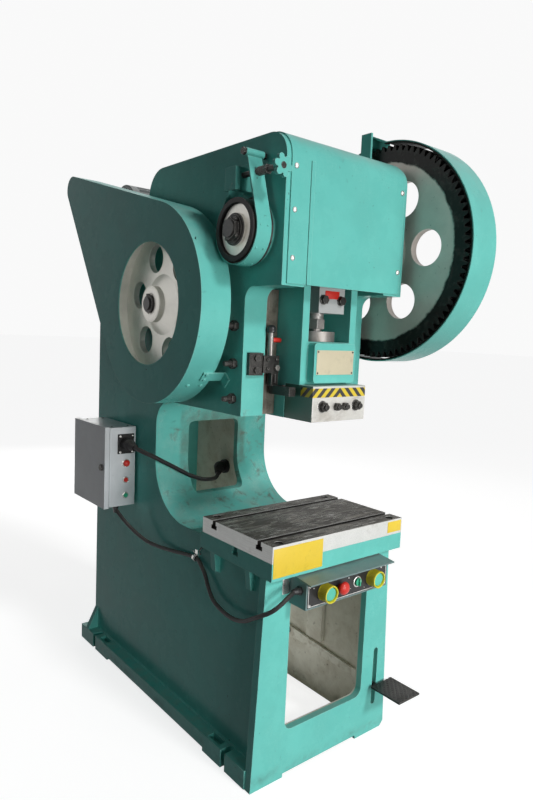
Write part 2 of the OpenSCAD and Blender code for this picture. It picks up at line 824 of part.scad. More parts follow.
module main_gear() {
    rim_in = gear_pitch_r - 1.25 * gear_module - 36;
    hole_r = 58;
    hole_circle = 190;
    web_t = 26;
    web_x = gear_x + 2;
    cone_r = 110;
    color(grey_enamel) placed() translate([0, crank_y, crank_z]) difference() {
        union() {
            difference() {
                along_x(gear_x, gear_x + gear_w) rotate(mesh_angle) gear_shape(gear_teeth);
                shaft_x(rim_in, web_x + web_t, gear_x + gear_w + 1);
                shaft_x(rim_in, gear_x - 1, web_x);
            }
            shaft_x(gear_hub_r, hub_back, gear_x + gear_w + 6);
            // cones where the hub meets the web
            translate([web_x, 0, 0]) rotate([0, -90, 0])
                cylinder(r1 = cone_r, r2 = gear_hub_r - 1, h = 14);
            translate([web_x + web_t, 0, 0]) rotate([0, 90, 0])
                cylinder(r1 = cone_r, r2 = gear_hub_r - 1, h = 30);
        }
        shaft_x(gear_shaft_r + gear_bush_t, hub_back - 1, gear_x + gear_w + 10);
        for (i = [0 : web_holes - 1]) rotate([i * 360 / web_holes - 2, 0, 0])
            shaft_x(hole_r, gear_x - 10, gear_x + gear_w, hole_circle, 0);
    }
}

module gear_bush() {
    color("#b08d57") placed() translate([0, crank_y, crank_z])
        bush(gear_shaft_r, gear_bush_t, hub_back, gear_x + gear_w + 6);
}

corner_y = 85;
corner_z = 404;
lip = 5;
lobe_r = pinion_pitch_r + gear_module + 14;

// Side view of the gear guard: round the gear and the pinion, with a corner at the top rear
module gear_guard_shape(t) {
    teardrop(gear_guard_r + t, lobe_r + t, mesh_distance, mesh_angle);
    polygon([[-5, 0], [-5, gear_guard_r - 0.5 + t], [corner_y + t, corner_z + t], [corner_y + t, 0]]);
}

module gear_guard() {
    outer = gear_guard_x + gear_guard_d;
    color(enamel) placed() translate([0, crank_y, crank_z]) {
        along_x(gear_guard_x, outer) difference() {
            gear_guard_shape(guard_t);
            gear_guard_shape(0);
        }
        // narrow lip turned in towards the frame
        along_x(gear_guard_x, gear_guard_x + guard_t) difference() {
            gear_guard_shape(guard_t);
            gear_guard_shape(-lip);
        }
    }
}

module gear_guard_brackets() {
    reach = gear_guard_x + 60;
    tab_low = crank_z + gear_guard_r;
    plate_low = tab_low - 37;
    plate_top = crank_z + corner_z - 6;
    rear = crank_y + corner_y;
    color(enamel) placed() {
        // upper plate behind the gear, screwed inside the guard's corner, and its leg
        difference() {
            along_y(rear - 8, rear) polygon([
                [frame_half_w, plate_low], [gear_guard_x - 4, plate_low], [gear_guard_x - 4, tab_low],
                [reach, tab_low], [reach, plate_top], [frame_half_w, plate_top]
            ]);
            // notch for the guard's lip
            block(gear_guard_x - fit_gap, gear_guard_x + guard_t + fit_gap, rear - lip - fit_gap, rear + 1,
                tab_low - 1, plate_top + 1);
        }
        block(frame_half_w, frame_half_w + 8, rear - 44, rear, head_top - 60, plate_top);
        // lower strap, from the side plate to the lobe round the pinion
        translate([0, drive_y, drive_z]) rotate([mesh_angle, 0, 0]) difference() {
            union() {
                block(frame_half_w, frame_half_w + 8, lobe_r, lobe_r + 60, -30, 30);
                block(frame_half_w, reach, lobe_r - 4, lobe_r + 9, -30, 30);
            }
            shaft_x(lobe_r + guard_t + 0.15, frame_half_w - 1, reach + 1);
        }
    }
}

module drive_shaft() {
    color(dark_steel) placed() translate([0, drive_y, drive_z]) {
        shaft_x(drive_r, -flywheel_x - flywheel_w - 8, gear_x + gear_w + 12);
        shaft_x(20, -flywheel_x - flywheel_w - 16, -flywheel_x - flywheel_w);
        both_sides() shaft_x(drive_r + 6, 170, inner_half_w - 22 - fit_gap);
    }
}

module pinion() {
    color(rubber) placed() translate([0, drive_y, drive_z]) difference() {
        union() {
            along_x(gear_x - 2, gear_x + gear_w + 2) rotate(mesh_angle + 180 + 180 / pinion_teeth)
                gear_shape(pinion_teeth);
            shaft_x(52, frame_half_w + bearing_out + 1, gear_x - 1);
        }
        shaft_x(drive_r, frame_half_w, gear_x + gear_w + 3);
    }
}

belt_top = 13;
belt_foot = 8;
belt_h = 10;
belt_x = [for (i = [-1 : 1]) -flywheel_x - flywheel_w / 2 + i * belt_pitch];

// Rim section with V-grooves, for a wheel whose groove mouths lie at radius r
module grooves(r) {
    for (x = belt_x) translate([x, 0, 0]) rotate([0, 90, 0]) rotate_extrude()
        polygon([
            [r - belt_h - 2, -belt_foot / 2 - 0.4], [r + 1, -belt_top / 2 - 0.9],
            [r + 1, belt_top / 2 + 0.9], [r - belt_h - 2, belt_foot / 2 + 0.4]
        ]);
}

module flywheel() {
    rim = 46;
    hole_r = 46;
    hole_circle = 158;
    web_t = 22;
    web_face = -flywheel_x - 32;
    outer = -flywheel_x - flywheel_w;
    hub_r = 58;
    color(grey_enamel) placed() translate([0, drive_y, drive_z]) difference() {
        shaft_x(flywheel_r, outer, -flywheel_x);
        difference() {
            shaft_x(flywheel_r - rim, outer - 1, web_face);
            translate([web_face, 0, 0]) rotate([0, -90, 0]) cylinder(r1 = 98, r2 = hub_r, h = 24);
            shaft_x(hub_r, outer - 2, web_face + 1);
        }
        difference() {
            shaft_x(flywheel_r - rim, web_face + web_t, -flywheel_x + 1);
            shaft_x(hub_r, web_face, -flywheel_x + 2);
        }
        grooves(flywheel_r);
        shaft_x(drive_r, outer - 1, -flywheel_x + 1);
        for (i = [0 : web_holes - 1]) rotate([i * 360 / web_holes + 12, 0, 0])
            shaft_x(hole_r, outer - 1, -flywheel_x + 1, hole_circle, 0);
    }
}

module motor_pulley() {
    color(dark_steel) placed() translate([0, motor_y, motor_z]) difference() {
        union() {
            shaft_x(pulley_r, -flywheel_x - flywheel_w, -flywheel_x);
            shaft_x(motor_shaft_r, -flywheel_x - flywheel_w - 6, motor_body_x - 162);
        }
        grooves(pulley_r);
    }
}

// Belt section, its back at radius 0
module belt_section(r) {
    polygon([[r - belt_h, -belt_foot / 2], [r, -belt_top / 2], [r, belt_top / 2], [r - belt_h, belt_foot / 2]]);
}

module v_belts() {
    lift = 0.3;
    lap = 0.02;
    r1 = flywheel_r + lift;
    r2 = pulley_r + lift;
    phi = acos((r1 - r2) / motor_reach);
    run = motor_reach * sin(phi);
    color(rubber) placed() translate([0, drive_y, drive_z]) for (x = belt_x)
        translate([x, 0, 0]) rotate([90, 0, 90]) rotate(motor_angle) {
            rotate(phi) rotate_extrude(angle = 360 - 2 * phi) belt_section(r1);
            translate([motor_reach, 0, 0]) rotate(-phi) rotate_extrude(angle = 2 * phi) belt_section(r2);
            for (s = [-1, 1]) rotate(s * phi) translate([0, (s > 0 ? -run : 0) - lap, 0])
                rotate([-90, 0, 0]) linear_extrude(run + 2 * lap) mirror([0, 1]) belt_section(r1);
        }
}

module belt_guard_shape(t) {
    teardrop(belt_guard_r + t, guard_cap_r + t, guard_reach, motor_angle);
}

module belt_guard() {
    outer = -belt_guard_x - belt_guard_d;
    color(enamel) placed() translate([0, drive_y, drive_z]) {
        along_x(outer, -belt_guard_x) difference() {
            belt_guard_shape(guard_t);
            belt_guard_shape(0);
        }
        along_x(outer, outer + guard_t) difference() {
            belt_guard_shape(guard_t);
            circle(belt_window_r);
        }
        // turned-in lip against the frame
        along_x(-belt_guard_x - guard_t, -belt_guard_x) difference() {
            belt_guard_shape(guard_t);
            belt_guard_shape(-14);
        }
    }
}

module belt_guard_bracket() {
    strap = 34;
    strap_angle = 42;
    // lower front strap, from the guard's band to the cheek
    color(enamel) placed() {
        translate([0, drive_y, drive_z]) rotate([strap_angle, 0, 0]) {
            r = belt_guard_r + guard_t;
            block(-belt_guard_x - 40, -frame_half_w, -r - 5, -r, -strap / 2, strap / 2);
            block(-frame_half_w - 5, -frame_half_w, -r - 34, -r, -strap / 2, strap / 2);
            for (z = [-11, 11]) shaft_y(5, -r - 9, -r - 5, -belt_guard_x - 28, z);
        }
        // rear straps, behind the guard
        for (a = [15, 60]) translate([0, drive_y, drive_z]) rotate([a - 70, 0, 0]) {
            r = belt_guard_r - 14;
            block(-belt_guard_x, -frame_half_w, r, r + 6, -strap / 2, strap / 2);
        }
    }
}

module motor() {
    body_r = 92;
    len = 190;
    fins = 20;
    color(pale_grey) placed() translate([motor_body_x, motor_y, motor_z]) difference() {
        union() {
            shaft_x(body_r - 10, -len + 20, len - 70);
            for (i = [0 : fins - 1]) rotate([i * 360 / fins, 0, 0])
                block(-len + 40, len - 70, body_r - 14, body_r, -2, 2);
            shaft_x(body_r, -len + 12, -len + 42);
            shaft_x(body_r - 22, -len, -len + 14);
            shaft_x(body_r, len - 72, len);
            block(-110, 70, -body_r + 4, body_r - 4, -motor_shaft_h, -motor_shaft_h + 12);
            for (y = [-body_r + 6, body_r - 30]) block(-100, 60, y, y + 24, -motor_shaft_h, -30);
            // terminal box on the front side of the shell
            block(-60, 50, -body_r - 36, -body_r + 14, -10, 70);
        }
        shaft_z(11, -12, -4, -5, -body_r - 16);
        shaft_x(motor_shaft_r + run_gap, -len - 1, -len + 32);
    }
}

motor_shaft_h = 112;

module motor_bracket() {
    plate_z = motor_z - motor_shaft_h;
    color(enamel) placed() {
        block(-190, 90, motor_y - 130, motor_y + 110, plate_z - 14, plate_z);
        for (x = [-180, 60]) along_x(x, x + 18) polygon([
            [motor_y - 120, column_top], [motor_y - 120, plate_z - 13],
            [motor_y + 100, plate_z - 13], [frame_back + 20, column_top - 20],
            [frame_back + 20, column_top - 120], [frame_back, column_top - 120],
            [frame_back, column_top]
        ]);
    }
}

rod_half_w = 54;
rod_bore_r = crank_pin_r + 8;
rod_r = 88;
rod_lug = 114;
cap_bolt_y = [crank_y - rod_lug + 15, crank_y + rod_lug - 15];
cap_bolt_x = [-30, 30];
cap_bolt_r = 7;
pinch_front = 102;
pinch_low = 1418;
pinch_high = 1498;
screw_r = 26;

module rod_ring() {
    difference() {
        shaft_x(rod_r, -rod_half_w, rod_half_w, crank_y, pin_z);
        shaft_x(rod_bore_r, -rod_half_w - 1, rod_half_w + 1, crank_y, pin_z);
    }
}

module connecting_rod() {
    color(enamel) placed() difference() {
        union() {
            intersection() {
                rod_ring();
                block(-200, 200, -200, 400, pin_z - 200, pin_z - fit_gap);
            }
            difference() {
                block(-rod_half_w, rod_half_w, crank_y - rod_lug, crank_y + rod_lug, pin_z - 36, pin_z - fit_gap);
                shaft_x(rod_bore_r, -rod_half_w - 1, rod_half_w + 1, crank_y, pin_z);
            }
            difference() {
                along_x(-rod_half_w, rod_half_w) polygon([
                    [crank_y - 66, pinch_low], [crank_y + 62, pinch_low], [crank_y + 62, 1560],
                    [crank_y + 76, 1625], [crank_y - 76, 1625], [crank_y - 66, 1560]
                ]);
                shaft_x(rod_bore_r, -rod_half_w - 1, rod_half_w + 1, crank_y, pin_z);
            }
            // lower half of the split bush
            difference() {
                shaft_x(rod_bore_r, -rod_half_w, rod_half_w, crank_y, pin_z);
                shaft_x(crank_pin_r + run_gap, -rod_half_w - 1, rod_half_w + 1, crank_y, pin_z);
                block(-200, 200, -200, 400, pin_z - fit_gap, pin_z + 200);
            }
        }
        shaft_z(screw_r, pinch_low - 1, pin_z - rod_bore_r - 20, 0, crank_y);
        block(-rod_half_w - 1, rod_half_w + 1, pinch_front - 20, crank_y - fit_gap, pinch_low - 1, pinch_high + fit_gap);
        for (x = [-37, 37]) shaft_y(8, crank_y - 1, crank_y + 40, x, (pinch_low + pinch_high) / 2);
        for (y = cap_bolt_y, x = cap_bolt_x) shaft_z(cap_bolt_r, pin_z - 31, pin_z, x, y);
    }
}

module rod_cap() {
    color(enamel) placed() difference() {
        union() {
            intersection() {
                rod_ring();
                block(-200, 200, -200, 400, pin_z + fit_gap, pin_z + 200);
            }
            difference() {
                block(-rod_half_w, rod_half_w, crank_y - rod_lug, crank_y + rod_lug,
                    pin_z + fit_gap, pin_z + 34);
                shaft_x(rod_bore_r, -rod_half_w - 1, rod_half_w + 1, crank_y, pin_z);
            }
            // upper half of the split bush
            difference() {
                shaft_x(rod_bore_r, -rod_half_w, rod_half_w, crank_y, pin_z);
                shaft_x(crank_pin_r + run_gap, -rod_half_w - 1, rod_half_w + 1, crank_y, pin_z);
                block(-200, 200, -200, 400, pin_z - 200, pin_z + fit_gap);
            }
        }
        for (y = cap_bolt_y, x = cap_bolt_x) shaft_z(cap_bolt_r, pin_z, pin_z + 35, x, y);
    }
}

module pinch_cap() {
    color(pale_grey) placed() difference() {
        block(-rod_half_w, rod_half_w, pinch_front, crank_y - 2, pinch_low, pinch_high);
        shaft_z(screw_r, pinch_low - 1, pinch_high + 1, 0, crank_y);
        for (x = [-37, 37]) shaft_y(8, pinch_front - 1, crank_y, x, (pinch_low + pinch_high) / 2);
    }
}

module rod_bolts() {
    mid = (pinch_low + pinch_high) / 2;
    color(dark_steel) placed() {
        for (x = [-37, 37]) {
            shaft_y(8, pinch_front - 8, crank_y + 39, x, mid);
            hex_y(24, pinch_front - 13, pinch_front - 3, x, mid);
            shaft_y(15, pinch_front - 3, pinch_front, x, mid);
        }
        for (y = cap_bolt_y, x = cap_bolt_x) {
            shaft_z(cap_bolt_r, pin_z - 31, pin_z + 50, x, y);
            translate([x, y, pin_z + 34]) cylinder(d = 24 / cos(30), h = 11, $fn = 6);
        }
    }
}

module adjusting_screw() {
    color(bare_steel) placed() translate([0, crank_y, 0]) {
        translate([0, 0, ball_z]) sphere(ball_r);
        shaft_z(22, ball_z, 1376);
        translate([0, 0, 1370]) cylinder(d = 52 / cos(30), h = 30, $fn = 6);
        shaft_z(screw_r - fit_gap / 2, 1396, pin_z - rod_bore_r - 22);
    }
}

ball_clear = 1;
swing = crank_r + ball_clear;
lag = 7.4;

// Room for the ball at every crank angle: it swings back by the crank's radius and
// leads or lags the ram by up to lag
module ball_room(top) {
    r = ball_r + ball_clear;
    for (y = [crank_y, crank_y + swing]) {
        shaft_z(r, ball_z - lag, top, 0, y);
        translate([0, y, ball_z - lag]) sphere(r);
    }
    block(-r, r, crank_y, crank_y + swing, ball_z - lag, top);
    shaft_y(r, crank_y, crank_y + swing, 0, ball_z - lag);
}

module ram_plan() {
    shoulder_y = 105;
    polygon([
        [-ram_half_w, shoulder_y], [ram_half_w, shoulder_y], [ram_half_w, gib_mid - vee],
        [ram_half_w + vee + 2.4, gib_mid], [ram_half_w, gib_mid + vee], [ram_half_w, ram_back],
        [-ram_half_w, ram_back], [-ram_half_w, gib_mid + vee], [-ram_half_w - vee - 2.4, gib_mid],
        [-ram_half_w, gib_mid - vee]
    ]);
}

module ram() {
    boss_half = 88;
    boss_front = 75;
    upright_in = 88;
    color(enamel) placed() difference() {
        union() {
            translate([0, 0, ram_head]) linear_extrude(ram_top - ram_head) ram_plan();
            block(-ram_half_w, ram_half_w, crank_y + fit_gap, ram_back, ram_bottom, ram_head + 1);
            along_y(boss_front, 106) rounded_rect(-boss_half, boss_half, ram_head + 7, pocket_floor - 3, 12);
        }
        // pocket between the uprights for the rod
        block(-upright_in, upright_in, 0, ram_back - 26, pocket_floor, ram_top + 1);
        ball_room(pocket_floor + 1);
        shaft_z(shank_r, ram_bottom - 1, ram_bottom + shank_depth, 0, crank_y);
        // knock-out slot across the ram
        block(-ram_half_w - 60, ram_half_w + 60, gib_mid - 10, gib_mid + 10, ram_head + 6, ram_head + 50);
        for (x = stud_x) shaft_y(8, crank_y, crank_y + 40, x, stud_z);
    }
}

stud_x = [-72, 72];
stud_z = ram_bottom + 46;
clamp_front = 47;
clamp_half = 113;

module ball_ring() {
    ring_r = 63;
    ring_h = 32;
    neck = ring_neck_r;
    color(bare_steel) placed() difference() {
        shaft_z(ring_r, pocket_floor, pocket_floor + ring_h, 0, crank_y);
        shaft_z(neck, pocket_floor - 1, pocket_floor + ring_h + 1, 0, crank_y);
        block(-neck, neck, crank_y, crank_y + ring_r + 1, pocket_floor - 1, pocket_floor + ring_h + 1);
        for (y = [crank_y, crank_y + swing]) translate([0, y, ball_z + lag]) sphere(ball_r + ball_clear);
        shaft_y(ball_r + ball_clear, crank_y, crank_y + swing, 0, ball_z + lag);
        for (a = [200, 340]) translate([48 * cos(a), crank_y + 48 * sin(a), pocket_floor + ring_h - 6])
            cylinder(r = 6, h = 7);
    }
}

module clamp_block() {
    color(pale_grey) placed() difference() {
        block(-clamp_half, clamp_half, clamp_front, crank_y - fit_gap, ram_bottom, ram_head - fit_gap);
        shaft_z(shank_r, ram_bottom - 1, ram_bottom + shank_depth, 0, crank_y);
        for (x = stud_x) shaft_y(8, clamp_front - 1, crank_y, x, stud_z);
    }
}

module clamp_bolts() {
    color(rubber) placed() {
        for (x = stud_x) {
            shaft_y(8, clamp_front - 24, crank_y + 39, x, stud_z);
            hex_y(26, clamp_front - 15, clamp_front - 3, x, stud_z);
            shaft_y(17, clamp_front - 3, clamp_front, x, stud_z);
        }
        for (x = [-12, 22]) {
            shaft_y(8, clamp_front - 18, clamp_front, x, stud_z - 2);
            hex_y(22, clamp_front - 11, clamp_front, x, stud_z - 2);
        }
    }
}

// Bracket, arm and stop rod on the left cheek, for the knock-out bar
module knockout_bracket() {
    front = guide_front;
    color(dark_steel) placed() {
        block(-238, -186, front - 14, front, 1222, 1290);
        block(-190, -130, front - 22, front - 2, 1230, 1282);
        block(-150, -126, front - 98, front - 2, 1165, 1192);
        block(-158, -132, front - 22, front - 2, 1191, 1231);
        for (z = [1238, 1274]) hex_y(18, front - 24, front - 13, -214, z);
        shaft_x(8, -127, -121, front - 86, 1179);
    }
}

module knockout_rod() {
    color(bare_steel) placed() {
        shaft_z(8, 1282, 1352, -158, guide_front - 12);
        translate([-158, guide_front - 12, 1362]) sphere(13);
        shaft_x(6, -152, -122, guide_front - 12, 1330);
        hex_y(16, guide_front - 32, guide_front - 22, -142, 1246);
    }
}

module control_cabinet() {
    t = 4;
    x0 = -cabinet_x - cabinet_d;
    y1 = cabinet_front + cabinet_w;
    color(pale_grey) placed() difference() {
        union() {
            block(x0, -cabinet_x, cabinet_front, y1, cabinet_z, cabinet_z + cabinet_h);
            for (z = [cabinet_z + 30, cabinet_z + cabinet_h - 60], y = [cabinet_front + 30, y1 - 60])
                block(-cabinet_x - 1, -frame_half_w, y, y + 30, z, z + 30);
            // hinge leaves and pins
            for (z = hinge_z) {
                block(x0 + 1, x0 + 14, y1 - 1, hinge_y - 2, z + hinge_h + 1, z + 2 * hinge_h);
                block(hinge_x, x0 + 14, hinge_y - 5, hinge_y - 2, z + hinge_h + 1, z + 2 * hinge_h);
                shaft_z(hinge_r, z + hinge_h + 1, z + 2 * hinge_h, hinge_x, hinge_y);
                shaft_z(hinge_pin_r, z, z + hinge_h + 2, hinge_x, hinge_y);
            }
        }
        block(x0 - 1, -cabinet_x - t, cabinet_front + t, y1 - t, cabinet_z + t, cabinet_z + cabinet_h - t);
        for (z = [button_red_z, button_green_z])
            shaft_y(8 + fit_gap, cabinet_front - 1, cabinet_front + t + 1, cabinet_button_x, z);
    }
}

cabinet_button_x = -302;
lamp_z = 841;
button_red_z = 777;
button_green_z = 718;
socket_x = -305;
socket_z = 915;

module cabinet_door() {
    t = 18;
    face = -cabinet_x - cabinet_d - t - 1;
    y0 = cabinet_front - 3;
    y1 = door_rear;
    color(pale_grey) placed() {
        difference() {
            block(face, face + t, y0, y1, cabinet_z - 3, cabinet_z + cabinet_h + 3);
            block(face + 3, face + t + 1, y0 + 3, y1 - 3, cabinet_z, cabinet_z + cabinet_h);
        }
        shaft_x(9, face - 7, face + 1, y0 + 26, cabinet_z + cabinet_h / 2);
        for (z = hinge_z) difference() {
            union() {
                shaft_z(hinge_r, z, z + hinge_h, hinge_x, hinge_y);
                block(hinge_x - hinge_r, hinge_x + 1, door_rear - 1, hinge_y, z, z + hinge_h);
            }
            shaft_z(hinge_pin_r + run_gap, z - 1, z + hinge_h + 1, hinge_x, hinge_y);
        }
    }
}

// Mounting plate with contactor, relay and terminals inside the cabinet
module starter_gear() {
    back = -cabinet_x - 4;
    y0 = cabinet_front + 34;
    color("#33363a") placed() {
        block(back - 3, back, y0 - 12, y0 + 210, cabinet_z + 20, cabinet_z + cabinet_h - 20);
        for (y = [0, 72]) {
            block(back - 60, back - 3, y0 + y, y0 + y + 56, cabinet_z + 176, cabinet_z + 250);
            block(back - 70, back - 59, y0 + y + 14, y0 + y + 42, cabinet_z + 190, cabinet_z + 236);
        }
        block(back - 52, back - 3, y0 + 2, y0 + 54, cabinet_z + 112, cabinet_z + 164);
        for (i = [0 : 6]) block(back - 34, back - 3, y0 + 8 + i * 24, y0 + 29 + i * 24,
            cabinet_z + 44, cabinet_z + 84);
    }
}

// Points the z axis of its children from one place to another
module toward(from, to) {
    v = to - from;
    translate(from) rotate([0, acos(v[2] / norm(v)), atan2(v[1], v[0])]) children();
}

module cable_socket() {
    elbow = [socket_x, cabinet_front - 34, socket_z];
    color(rubber) placed() {
        block(socket_x - 32, socket_x + 32, cabinet_front - 5, cabinet_front, socket_z - 37, socket_z + 37);
        shaft_y(22, cabinet_front - 34, cabinet_front - 4, socket_x, socket_z);
        translate(elbow) sphere(22);
        toward(elbow, motor_cable_route[0])
            cylinder(r1 = 19, r2 = motor_cable_d / 2 + 4, h = norm(motor_cable_route[0] - elbow));
        for (x = [-25, 25], z = [-30, 30])
            shaft_y(4, cabinet_front - 8, cabinet_front - 4, socket_x + x, socket_z + z);
    }
}

module cabinet_lamp() {
    color("#d0201c") placed() intersection() {
        shaft_y(12, cabinet_front - 15, cabinet_front, cabinet_button_x, lamp_z);
        translate([cabinet_button_x, cabinet_front + 3, lamp_z]) sphere(17);
    }
}

module cabinet_red_button() {
    color("#7c1512") placed()
        shaft_y(8, cabinet_front - 6, cabinet_front + 12, cabinet_button_x, button_red_z);
}

module cabinet_green_button() {
    color("#1d6b45") placed()
        shaft_y(8, cabinet_front - 6, cabinet_front + 12, cabinet_button_x, button_green_z);
}

module cable_gland() {
    elbow = [inner_half_w - 34, gland_y, gland_z];
    last = motor_cable_route[len(motor_cable_route) - 1];
    color(rubber) placed() {
        shaft_x(30, inner_half_w - 14, inner_half_w, gland_y, gland_z);
        shaft_x(24, inner_half_w - 34, inner_half_w - 13, gland_y, gland_z);
        translate(elbow) sphere(24);
        toward(elbow, last) cylinder(r1 = 20, r2 = motor_cable_d / 2 + 4, h = norm(last - elbow));
        shaft_x(15 - fit_gap, inner_half_w - 1, frame_half_w + 6, gland_y, gland_z);
        hex_x(40, frame_half_w, frame_half_w + 8, gland_y, gland_z);
    }
}

module cable_clip() {
    color(bare_steel) placed() difference() {
        union() {
            shaft_y(button_cable_d / 2 + 3, clip_y - 7, clip_y + 7, clip_x, clip_z);
            block(-frame_half_w - 3, -frame_half_w, clip_y - 7, clip_y + 7, clip_z, clip_z + 26);
        }
        shaft_y(button_cable_d / 2 + 0.6, clip_y - 8, clip_y + 8, clip_x, clip_z);
        block(-frame_half_w, -frame_half_w + 20, clip_y - 8, clip_y + 8, clip_z - 40, clip_z + 40);
    }
}

// A round cable through the points, as one closed tube
function unit(v) = v / norm(v);
function tangent(p, i) = unit(p[min(i + 1, len(p) - 1)] - p[max(i - 1, 0)]);
function side(t) = unit(cross(t, abs(t[2]) > 0.9 ? [1, 0, 0] : [0, 0, 1]));

// Points along a smooth curve through the route, n steps between neighbours
function smooth(p, n) = [
    for (i = [0 : len(p) - 2], k = [0 : n - 1])
        let (
            a = p[max(i - 1, 0)], b = p[i], c = p[i + 1], d = p[min(i + 2, len(p) - 1)], u = k / n
        )
        0.5 * (2 * b + (c - a) * u + (2 * a - 5 * b + 4 * c - d) * u * u
            + (3 * b - a - 3 * c + d) * u * u * u),
    p[len(p) - 1]
];

module cable(p, d) {
    sides = 10;
    n = len(p);
    points = [
        for (i = [0 : n - 1], k = [0 : sides - 1])
            let (t = tangent(p, i), s = side(t), u = cross(s, t), a = k * 360 / sides)
            p[i] + d / 2 * (cos(a) * s + sin(a) * u)
    ];
    faces = concat(
        [[for (k = [0 : sides - 1]) k]],
        [for (i = [0 : n - 2], k = [0 : sides - 1])
            [i * sides + k, (i + 1) * sides + k,
                (i + 1) * sides + (k + 1) % sides, i * sides + (k + 1) % sides]],
        [[for (k = [sides - 1 : -1 : 0]) (n - 1) * sides + k]]
    );
    polyhedron(points, faces, convexity = 8);
}

module motor_cable() {
    color(rubber) placed() cable(smooth(motor_cable_route, 2), motor_cable_d);
}

module button_cable() {
    color(rubber) placed() cable(smooth(button_cable_route, 2), button_cable_d);
}

module button_box() {
    t = 4;
    low = button_box_top - button_box_h;
    hood = 14;
    color(pale_grey) placed() difference() {
        union() {
            block(-button_box_half, button_box_half, button_face, base_front, low, button_box_top);
            // sloping hood over the buttons
            along_x(-button_box_half - 6, button_box_half + 6) polygon([
                [button_face - 24, button_box_top - 1], [button_face - 24, button_box_top + 3],
                [base_front, button_box_top + hood], [base_front, button_box_top - 1]
            ]);
        }
        block(-button_box_half + t, button_box_half - t, button_face + t, base_front - t,
            low + t, button_box_top - t);
        for (x = [-palm_x, palm_x]) shaft_y(palm_stem_r + fit_gap, button_face - 1, button_face + t + 1, x, button_z);
        for (x = [stop_x, select_x]) shaft_y(small_stem_r + fit_gap, button_face - 1, button_face + t + 1, x, button_z);
    }
}

palm_x = 104;
stop_x = -38;
select_x = 36;
palm_stem_r = 11;
small_stem_r = 9;

module palm_guards() {
    ring_r = 27;
    ring_in = 21.5;
    ring_d = 34;
    color("#d8cf1e") placed() for (x = [-palm_x, palm_x]) difference() {
        shaft_y(ring_r, button_face - ring_d, button_face, x, button_z);
        shaft_y(ring_in, button_face - ring_d - 1, button_face - 4, x, button_z);
        shaft_y(palm_stem_r + 1, button_face - 5, button_face + 1, x, button_z);
    }
}

module palm_button(x) {
    color("#2fa66c") placed() {
        shaft_y(20, button_face - 30, button_face - 12, x, button_z);
        shaft_y(palm_stem_r, button_face - 13, button_face + 18, x, button_z);
    }
}

module palm_button_left() {
    palm_button(-palm_x);
}

module palm_button_right() {
    palm_button(palm_x);
}

module stop_button() {
    color("#d8241e") placed() {
        intersection() {
            shaft_y(20, button_face - 30, button_face - 14, stop_x, button_z);
            translate([stop_x, button_face - 2, button_z]) sphere(28.5);
        }
        shaft_y(small_stem_r, button_face - 15, button_face + 16, stop_x, button_z);
    }
}

module start_selector() {
    color("#2a8f5c") placed() {
        shaft_y(12, button_face - 10, button_face - 5, select_x, button_z);
        shaft_y(small_stem_r, button_face - 6, button_face + 16, select_x, button_z);
    }
}

module foot_pedal() {
    lever_t = 8;
    lever_z = 165;
    plate_x = pedal_x + 27;
    color(dark_steel) placed() {
        // lever through the slot, pivoted inside the base
        along_x(pedal_x - lever_t / 2, pedal_x + lever_t / 2) difference() {
            union() {
                polygon([
                    [base_front - 70, lever_z - 13], [base_front + 40, lever_z - 13],
                    [pedal_pivot_y, pedal_pivot_z - 18], [pedal_pivot_y, pedal_pivot_z + 18],
                    [base_front + 40, lever_z + 13], [base_front - 70, lever_z + 3]
                ]);
                translate([pedal_pivot_y, pedal_pivot_z]) circle(20);
            }
            translate([pedal_pivot_y, pedal_pivot_z]) circle(pin_r + run_gap);
        }
        block(plate_x - pedal_w / 2, plate_x + pedal_w / 2, base_front - 4 - pedal_d, base_front - 10,
            lever_z + 2, lever_z + 8);
    }
}

module pedal_pin() {
    color(bare_steel) placed() translate([0, pedal_pivot_y, pedal_pivot_z]) {
        shaft_x(pin_r, pedal_x - 5, frame_half_w + 2);
        shaft_x(pin_r + 5, pedal_x - 10, pedal_x - 4 - fit_gap);
        shaft_x(pin_r + 4, frame_half_w, frame_half_w + 8);
    }
}

frame();
front_cover();
cover_screws();
bolster();
bolster_bolts();
guide_gibs();
gib_studs();
shaft_bushes();
crankshaft();
brake_drum();
shaft_end_nuts();
brake_band();
brake_lining();
brake_anchor();
brake_rod();
brake_spring();
brake_handwheel();
main_gear();
gear_bush();
gear_guard();
gear_guard_brackets();
drive_shaft();
pinion();
flywheel();
motor_pulley();
v_belts();
belt_guard();
belt_guard_bracket();
motor();
motor_bracket();
connecting_rod();
rod_cap();
pinch_cap();
rod_bolts();
adjusting_screw();
ram();
ball_ring();
clamp_block();
clamp_bolts();
knockout_bracket();
knockout_rod();
control_cabinet();
cabinet_door();
starter_gear();
cable_socket();
cabinet_lamp();
cabinet_red_button();
cabinet_green_button();
cable_gland();
cable_clip();
motor_cable();
button_cable();
button_box();
palm_guards();
palm_button_left();
palm_button_right();
stop_button();
start_selector();
foot_pedal();
pedal_pin();
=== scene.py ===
import json
import math
import random
import bmesh
import bpy
from mathutils import Matrix, Vector

